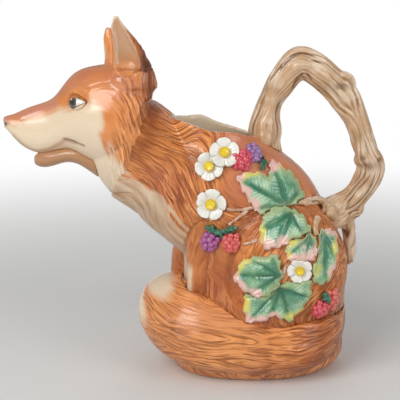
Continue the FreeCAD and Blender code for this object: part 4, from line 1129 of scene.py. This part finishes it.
def petal_material(name):
    """White glaze with a yellow heart."""
    bench, place, end = new_material(name)
    cloud = bench.band(bench.noise(place, 160.0, 2.0), 0.4, 0.7)
    colour = bench.mix(bench.times(cloud, 0.4), GLAZE.petal, GLAZE.petal_shade)
    colour = bench.mix(bench.painted("heart"), colour, GLAZE.flower_yellow)
    # Painted shade from the dark mask, in the gaps between the petals and on their sides
    colour = bench.mix(bench.painted("dark"), colour, GLAZE.petal_shade)
    return end(colour, bench.noise(place, 400.0, 2.0), 0.06, gloss=0.05)


class SCULPT_OT_flowers(bpy.types.Operator):
    """Flowers with their petals and buttons"""
    bl_idname = "pitcher.flowers"
    bl_label = "Flowers"

    def execute(self, context):
        settings = context.scene.pitcher_glaze
        for label, (width, first) in FLOWERS.items():
            middle, outwards, across, up = seat_of(f"{label}_centre")
            clay = Clay(label.replace("flower", "blossom"), (label,), 0.42, smoothing=3)
            away = clay.co - middle
            east, north = away @ across / MM, away @ up / MM
            radius = np.hypot(east, north) / width
            angle = np.degrees(np.arctan2(north, east))
            phase = ((angle - first) / 72.0) % 1.0
            between = np.abs(phase - 0.5) * 2
            face = smoothstep(0.2, 0.6, clay.normal @ outwards)
            gap = smoothstep(0.55, 1.0, 1 - between) * smoothstep(3.0, 7.0, radius)
            cup = -1.1 * smoothstep(8.0, 3.0, radius) + 0.25 * smoothstep(6.0, 10.0, radius)
            veins = 0.07 * np.cos(np.radians(angle * 20)) * smoothstep(3.0, 6.0, radius)
            notch = np.exp(-((between - 1) / 0.16) ** 2) * smoothstep(8.5, 11.5, radius)
            ruffle = 0.5 * (noise(clay.co / 0.0050, 83) - 0.5)
            fill = smoothstep(0.30, 0.95, 1 - between) * smoothstep(4.0, 7.5, radius)
            widening = (0.13 * fill - 0.02 * notch)[:, None]
            clay.co += (np.outer(east, across) + np.outer(north, up)) * MM * widening
            clay.move(face * (cup + veins + ruffle - 0.9 * gap * smoothstep(0.86, 1.0, 1 - between)))
            clay.paint("heart", 0.75 * smoothstep(4.6, 3.4, radius) * face)
            # Painted shade in the gaps between the petals and on the petals' sides that face away
            low = 0.8 * gap * smoothstep(0.80, 1.0, 1 - between)
            clay.paint("dark", np.clip(low + 0.5 * (1 - face), 0, 1))
            clay.finish(petal_material(f"{label}_glaze"))

            bpy.ops.object.select_all(action="DESELECT")
            button = Clay(label.replace("flower", "flower_button"), (f"{label}_centre",), 0.28, smoothing=6)
            away = button.co - middle
            spread = np.linalg.norm(away - np.outer(away @ outwards, outwards), axis=1) / (3.75 * MM * width)
            front = smoothstep(0.1, 0.5, button.normal @ outwards)
            beads = noise(button.co / 0.0008, 89)
            button.move(front * (0.30 * beads - 0.9 + 0.35 * smoothstep(0.2, 0.7, spread)))
            button.paint("dark", np.clip(0.75 * smoothstep(0.55, 0.95, spread) + 0.3 * (beads < 0.35), 0, 1))
            material = plain_material(f"{label}_button_glaze", settings.flower_yellow, settings.flower_orange)
            button.finish(material)
        return {"FINISHED"}


# Berries: place as (x, z), lean in degrees, length, width, colours, slot
BERRIES = {
    "rim_berry": ((-3.7, 156.7), 5, 14.7, 13.0, (205, 62, 80), (140, 20, 40), "red_berry_glaze"),
    "back_berry": ((5.3, 160.7), -11, 15.7, 10.0, (150, 108, 160), (84, 48, 96), "purple_berry_glaze"),
    "shoulder_berry": ((-24.9, 101.0), 34, 15.4, 12.2, (165, 82, 142), (92, 30, 88), "purple_berry_glaze"),
    "side_berry": ((-10.8, 101.8), 4, 14.7, 11.6, (214, 88, 84), (150, 36, 44), "red_berry_glaze"),
    "haunch_berry": ((51.3, 55.7), 25, 14.4, 10.8, (208, 72, 84), (146, 30, 46), "red_berry_glaze"),
    "rump_berry": ((59.0, 62.0), 0, 19.2, 10.5, (212, 98, 84), (156, 48, 44), "red_berry_glaze"),
}


def bead_material(name, light, dark):
    """Glossy glaze of a berry, with painted shade between its drupelets."""
    bench, place, end = new_material(name, coat=0.8)
    low = bench.painted("dark")
    cloud = bench.band(bench.noise(place, 300.0, 1.0), 0.4, 0.7)
    colour = bench.mix(bench.times(cloud, 0.35), linear(*light), linear(*[min(v + 45, 255) for v in light]))
    # Painted shade between the drupelets
    colour = bench.mix(low, colour, linear(*dark))
    return end(colour, cloud, 0.02, gloss=0.02)


class SCULPT_OT_berries(bpy.types.Operator):
    """Berries of many drupelets"""
    bl_idname = "pitcher.berries"
    bl_label = "Berries"

    def execute(self, context):
        tree = skin_of("body_shell")
        bpy.ops.object.select_all(action="DESELECT")
        bpy.ops.mesh.primitive_ico_sphere_add(subdivisions=3, radius=1.0)
        pattern = context.active_object
        ball = np.array([v.co[:] for v in pattern.data.vertices])
        faces = np.array([p.vertices[:] for p in pattern.data.polygons])
        bpy.data.objects.remove(pattern)
        random = np.random.default_rng(97)
        for label, ((x, z), lean, length, width, light, dark, slot) in BERRIES.items():
            def hit(dx, dz):
                start = Vector(((x + dx) * MM, -0.12, (z + dz) * MM))
                return np.array(tree.ray_cast(start, Vector((0, 1, 0)))[0])
            here, step = hit(0, 0), 2.7
            forward, upward = hit(step, 0) - hit(-step, 0), hit(0, step) - hit(0, -step)
            outwards = np.cross(forward, upward)
            outwards /= np.linalg.norm(outwards)
            upward -= outwards * (upward @ outwards)
            upward /= np.linalg.norm(upward)
            side = np.cross(upward, outwards)
            tilt = math.radians(-lean)
            stalk = upward * math.cos(tilt) - side * math.sin(tilt)
            broad = np.cross(stalk, outwards)
            rows = 5
            vertices, polygons, darks = [], [], []
            for row in range(-1, rows):
                if row < 0:
                    middles = [(0.0, -0.02, 0.0)]
                else:
                    share = (row + 0.5) / rows * 2 - 1
                    ring = math.sqrt(max(1 - share * share * 0.88, 0.05)) * (1 + 0.12 * share)
                    count = max(2, round(3.4 * ring))
                    middles = []
                    for i in range(count + 1):
                        turn = math.pi * (i / count) + (0.5 * math.pi / count if row % 2 else 0)
                        if turn > math.pi * 1.02:
                            continue
                        middles.append((math.cos(turn) * ring * 0.40 * width, share * 0.42 * length,
                                        math.sin(turn) * ring * 0.30 * width))
                for middle in middles:
                    if row < 0:
                        size = np.array([0.36 * width, 0.40 * length, 0.27 * width])
                    else:
                        size = np.full(3, 0.205 * width) * (1 + 0.10 * random.uniform(-1, 1))
                    where = np.array(middle) + random.uniform(-0.15, 0.15, 3) * (row >= 0)
                    points = ball * size + where
                    world = here + (np.outer(points[:, 0], broad) + np.outer(points[:, 1], stalk)
                                    + np.outer(points[:, 2], outwards)) * MM
                    offset = len(vertices) * len(ball)
                    vertices.append(world)
                    polygons.append(faces + offset)
                    skin = np.array([0.5 * width, 0.52 * length, 0.42 * width])
                    # Painted shade: darker where a drupelet sinks into the berry and on its inner side, and the
                    # hidden core all dark
                    sunk = 1.1 - np.linalg.norm(points / skin, axis=1) - 0.5 * ball[:, 2]
                    darks.append(np.clip(sunk, 0, 1) if row >= 0 else np.ones(len(ball)))
            mesh = bpy.data.meshes.new(label.replace("berry", "bramble_berry"))
            mesh.from_pydata(np.concatenate(vertices).tolist(), [], np.concatenate(polygons).tolist())
            piece = bpy.data.objects.new(mesh.name, mesh)
            context.scene.collection.objects.link(piece)
            layer = mesh.attributes.new("dark", "FLOAT", "POINT")
            layer.data.foreach_set("value", np.concatenate(darks).astype(np.float32))
            select_only(piece)
            bpy.ops.object.shade_smooth()
            mesh.materials.append(bead_material(f"{label}_glaze", light, dark))
            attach(piece, "root")
            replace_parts(piece, label)
        return {"FINISHED"}


class SCULPT_OT_stems(bpy.types.Operator):
    """Stems of the flowers and berries"""
    bl_idname = "pitcher.stems"
    bl_label = "Stems"

    def execute(self, context):
        settings = context.scene.pitcher_glaze
        for label in ("flower_stem", "berry_stem", "lone_stem", "low_stem"):
            clay = Clay(label.replace("stem", "stalk"), (label,), 0.32, smoothing=3)
            crease = 1 - locks(clay.co, 6.0 * MM, 1.2 * MM, 101, 0.14)
            clay.move(-0.25 * crease)
            clay.paint("dark", np.clip(0.7 * crease, 0, 1))
            clay.finish(plain_material(f"{label}_glaze", settings.stem, settings.tan))
        return {"FINISHED"}


class SCULPT_OT_eyes(bpy.types.Operator):
    """Painted eyes"""
    bl_idname = "pitcher.eyes"
    bl_label = "Eyes"

    def execute(self, context):
        for name, label in (("painted_eye_left", "left_eye"), ("painted_eye_right", "right_eye")):
            clay = Clay(name, (label,), 0.3, smoothing=3)
            side = math.copysign(1, clay.co[:, 1].mean())
            middle = clay.co[:, 0].mean()
            clay.co[:, 0] = middle + 1.16 * (clay.co[:, 0] - middle)
            clay.shift((-0.7, 0.25 * side, 0), np.ones(len(clay.co)))
            clay.move(0.75 - 1.1 * smoothstep(1.15, 1.60, almond(clay.flat)))
            bench, place, end = new_material(f"{name}_glaze", coat=1.0)
            split = bench.add("ShaderNodeSeparateXYZ", {0: place}).node.outputs

            def offset(x, z):
                return (bench.over(bench.minus(split["X"], x * MM), MM),
                        bench.over(bench.minus(split["Z"], z * MM), MM))

            def oval(x, z, half_x, half_z):
                east, north = offset(x, z)
                east, north = bench.over(east, half_x), bench.over(north, half_z)
                return bench.maths("SQRT", bench.plus(bench.times(east, east), bench.times(north, north)))

            iris = oval(-119.9, 196.0, 2.8, 5.0)
            east, north = offset(-119.9, 196.2)
            narrow = bench.plus(4.7, bench.times(bench.larger(east, 0.0), -0.46))
            slit = bench.over(bench.maths("ABSOLUTE", north), bench.larger(narrow, 0.05))
            ahead = bench.over(bench.times(east, -1.0), 3.0)
            open_eye = bench.larger(slit, ahead)
            under = bench.band(split["Z"], 192.0 * MM, 198.0 * MM)
            skin = bench.mix(under, GLAZE.cream, GLAZE.fur_tan)
            white = bench.mix(bench.band(slit, 0.55, 1.0), GLAZE.eye_white, GLAZE.cream_shade)
            ring = bench.mix(bench.band(iris, 0.45, 0.95), GLAZE.iris_dark, GLAZE.iris)
            colour = bench.mix(bench.band(iris, 0.90, 1.02), ring, white)
            rim = bench.times(bench.band(iris, 0.84, 0.96), bench.band(iris, 1.16, 1.02))
            colour = bench.mix(bench.times(rim, 0.85), colour, GLAZE.soot)
            glint = oval(-120.6, 198.0, 0.7, 0.9)
            colour = bench.mix(bench.band(glint, 1.0, 0.7), colour, GLAZE.eye_white)
            lid = bench.times(bench.band(open_eye, 0.80, 0.95), bench.band(open_eye, 1.20, 1.05))
            colour = bench.mix(bench.band(open_eye, 1.02, 1.12), colour, skin)
            colour = bench.mix(bench.times(lid, 0.85), colour, GLAZE.soot)
            clay.finish(end(colour, iris, 0.0, gloss=0.0, wave=0.0))
        return {"FINISHED"}


def seen_directly(bench, glossy=True):
    """1 for rays from the camera and, if asked, for those that gloss and glass send on."""
    path = bench.tree.nodes.new("ShaderNodeLightPath")
    seen = path.outputs["Is Camera Ray"]
    for name in ("Is Glossy Ray", "Is Transmission Ray") if glossy else ():
        seen = bench.larger(seen, path.outputs[name])
    return seen


# Lamps: name, place, size and the setting of their power; then the point that they face
LAMPS = (
    ("key_lamp", (-0.75, -0.95, 0.95), 0.80, "key_power"),
    ("fill_lamp", (0.95, -0.85, 0.55), 0.70, "fill_power"),
    ("rear_lamp", (0.15, 0.95, 0.95), 0.70, "rear_power"),
)
LAMP_AIM = (0, 0, 0.12)
# Camera: place in metres, tilt in degrees, lens and sensor in millimetres
CAMERA_PLACE, CAMERA_TILT, CAMERA_LENS, CAMERA_SENSOR = (-0.032, -0.700, 0.27079), 78, 88.56, 36.0


class SCULPT_OT_stage(bpy.types.Operator):
    """Pale floor, soft lamps and the camera"""
    bl_idname = "pitcher.stage"
    bl_label = "Stage"

    def execute(self, context):
        settings = context.scene.pitcher_stage
        bpy.ops.object.select_all(action="DESELECT")
        bpy.ops.mesh.primitive_plane_add(size=12.0, location=(0, 0, 0))
        floor = context.active_object
        floor.name = "floor"
        material = bpy.data.materials.new("pale_floor")
        material.use_nodes = True
        material.node_tree.nodes.clear()
        bench = Bench(material.node_tree)
        paper = bench.add("ShaderNodeBsdfDiffuse", {"Color": (*settings.floor_colour, 1.0)})
        far = bench.add("ShaderNodeEmission", {"Color": (1, 1, 1, 1), "Strength": 1.0})
        distance = bench.add("ShaderNodeVectorMath", {0: bench.add("ShaderNodeTexCoord", out=3)}, out=1,
                             operation="LENGTH")
        away = bench.band(distance, settings.floor_near, settings.floor_far)
        share = bench.times(away, seen_directly(bench))
        bench.add("ShaderNodeOutputMaterial",
                  {"Surface": bench.add("ShaderNodeMixShader", {0: share, 1: paper, 2: far})})
        floor.data.materials.append(material)

        world = bpy.data.worlds.new("studio")
        context.scene.world = world
        world.use_nodes = True
        world.node_tree.nodes.clear()
        bench = Bench(world.node_tree)
        shine = bench.add("ShaderNodeMapRange", {"Value": seen_directly(bench, glossy=False),
                                                 "To Min": settings.world_strength, "To Max": 1.0})
        light = bench.add("ShaderNodeBackground", {"Color": (1, 1, 1, 1), "Strength": shine})
        bench.add("ShaderNodeOutputWorld", {"Surface": light})

        for name, place, size, setting in LAMPS:
            lamp = bpy.data.lights.new(name, "AREA")
            lamp.size, lamp.energy = size, getattr(settings, setting)
            holder = bpy.data.objects.new(name, lamp)
            context.scene.collection.objects.link(holder)
            holder.location = place
            aim = Vector(LAMP_AIM) - Vector(place)
            holder.rotation_euler = aim.to_track_quat("-Z", "Y").to_euler()

        camera = bpy.data.cameras.new("camera")
        camera.lens, camera.sensor_width = CAMERA_LENS, CAMERA_SENSOR
        viewer = bpy.data.objects.new("camera", camera)
        context.scene.collection.objects.link(viewer)
        viewer.location = CAMERA_PLACE
        viewer.rotation_euler = (math.radians(CAMERA_TILT), 0, 0)
        context.scene.camera = viewer
        context.scene.view_settings.view_transform = "Standard"
        return {"FINISHED"}


def shade(label, description, *steps):
    """A glaze colour on the panel."""
    return FloatVectorProperty(name=label, description=description, default=steps, size=3, min=0, max=255)


def power(label, description, watts):
    """A lamp's power on the panel."""
    return FloatProperty(name=label, description=description, default=watts, unit="POWER")


class GlazeSettings(bpy.types.PropertyGroup):
    """Colours of the glazes, in everyday 0-255 steps"""
    fur_tan: shade("Fur tan", "Lighter brown of the fur", 218, 132, 60)
    fur_rust: shade("Fur rust", "Warmer brown of the fur", 184, 90, 26)
    fur_light: shade("Hair light", "Glaze where it runs thin on a hair", 254, 174, 108)
    fur_dark: shade("Hair dark", "Glaze that pools between the hairs", 118, 54, 12)
    # Also used for painted shade in creases and on undersides
    fur_deep: shade("Fur deep", "Deep brown of the folds", 142, 68, 20)
    # Also used for painted sheen on the tail and painted highlights on the head
    blush: shade("Blush", "Mauve-pink glaze of the back and brow", 208, 136, 108)
    cream: shade("Cream", "Pale glaze of the cheeks, the chest and the inside", 236, 214, 184)
    cream_shade: shade("Cream shade", "Pale glaze where it lies thick", 194, 156, 108)
    tan: shade("Tan", "Warm thin glaze of the jaw and the ears", 174, 114, 64)
    soot: shade("Soot", "Dark lines of the eyes, the nose and the mouth", 62, 46, 34)
    bark: shade("Bark", "Tan bark", 206, 166, 126)
    bark_light: shade("Bark light", "Pale ridges of the bark", 236, 208, 178)
    bark_dark: shade("Bark dark", "Brown glaze in the grooves", 98, 62, 30)
    bark_olive: shade("Bark olive", "Olive glaze in the grooves", 146, 110, 58)
    leaf_green: shade("Leaf green", "Leaf glaze", 110, 164, 120)
    leaf_teal: shade("Leaf teal", "Cooler leaf glaze", 66, 134, 104)
    leaf_pale: shade("Leaf pale", "Leaf glaze where it runs thin", 190, 218, 184)
    leaf_lime: shade("Leaf lime", "Yellow-green near the edges", 190, 202, 146)
    leaf_yellow: shade("Leaf yellow", "Yellow of the tips", 226, 214, 110)
    leaf_pink: shade("Leaf pink", "Pink of the edges", 234, 190, 178)
    leaf_dark: shade("Leaf dark", "Dark green of the veins", 34, 86, 62)
    petal: shade("Petal", "White petals", 242, 240, 232)
    petal_shade: shade("Petal shade", "Folds of the petals", 206, 202, 184)
    flower_yellow: shade("Button yellow", "Yellow of the flowers' buttons", 240, 222, 40)
    flower_orange: shade("Button orange", "Ring round the buttons", 220, 168, 36)
    stem: shade("Stem", "Cream-pink stems", 232, 202, 180)
    eye_white: shade("Eye white", "White of the eyes", 228, 224, 210)
    iris: shade("Iris", "Outer iris", 112, 108, 86)
    iris_dark: shade("Iris dark", "Inner iris", 44, 42, 34)


class StageSettings(bpy.types.PropertyGroup):
    """Light and floor of the stage"""
    floor_colour: FloatVectorProperty(name="Floor", description="Colour of the floor", subtype="COLOR",
                                      default=(0.76, 0.76, 0.75), min=0, max=1)
    floor_near: FloatProperty(name="Shadowed floor", description="Reach of the floor that keeps its shade",
                              default=0.22, unit="LENGTH")
    floor_far: FloatProperty(name="White floor", description="Distance at which the floor is white",
                             default=0.95, unit="LENGTH")
    world_strength: FloatProperty(name="Room light", description="Strength of the light from all round",
                                  default=0.36)
    key_power: power("Key lamp", "Power of the main lamp", 11.5)
    fill_power: power("Fill lamp", "Power of the fill lamp", 4.6)
    rear_power: power("Rear lamp", "Power of the rear lamp", 1.6)


STEPS = (
    SCULPT_OT_fox_head, SCULPT_OT_fox_jaw, SCULPT_OT_fox_body, SCULPT_OT_fox_tail,
    SCULPT_OT_handle, SCULPT_OT_leaves, SCULPT_OT_calyxes, SCULPT_OT_flowers, SCULPT_OT_berries, SCULPT_OT_stems,
    SCULPT_OT_eyes, SCULPT_OT_stage,
)


class SCULPT_PT_pitcher(bpy.types.Panel):
    """Lists the pieces of the pitcher"""
    bl_idname = "SCULPT_PT_pitcher"
    bl_label = "Fox pitcher"
    bl_space_type = "VIEW_3D"
    bl_region_type = "UI"
    bl_category = "Pitcher"

    def draw(self, context):
        for step in STEPS:
            self.layout.operator(step.bl_idname)
        for settings in (context.scene.pitcher_glaze, context.scene.pitcher_stage):
            for name in settings.bl_rna.properties.keys():
                if name not in ("rna_type", "name"):
                    self.layout.prop(settings, name)


CLASSES = (GlazeSettings, StageSettings, *STEPS, SCULPT_PT_pitcher)


def register():
    for item in CLASSES:
        bpy.utils.register_class(item)
    bpy.types.Scene.pitcher_glaze = PointerProperty(type=GlazeSettings)
    bpy.types.Scene.pitcher_stage = PointerProperty(type=StageSettings)


def unregister():
    del bpy.types.Scene.pitcher_glaze
    del bpy.types.Scene.pitcher_stage
    for item in reversed(CLASSES):
        bpy.utils.unregister_class(item)


def main():
    register()
    for step in STEPS:
        area, name = step.bl_idname.split(".")
        getattr(getattr(bpy.ops, area), name)()


if __name__ == "__main__":
    main()
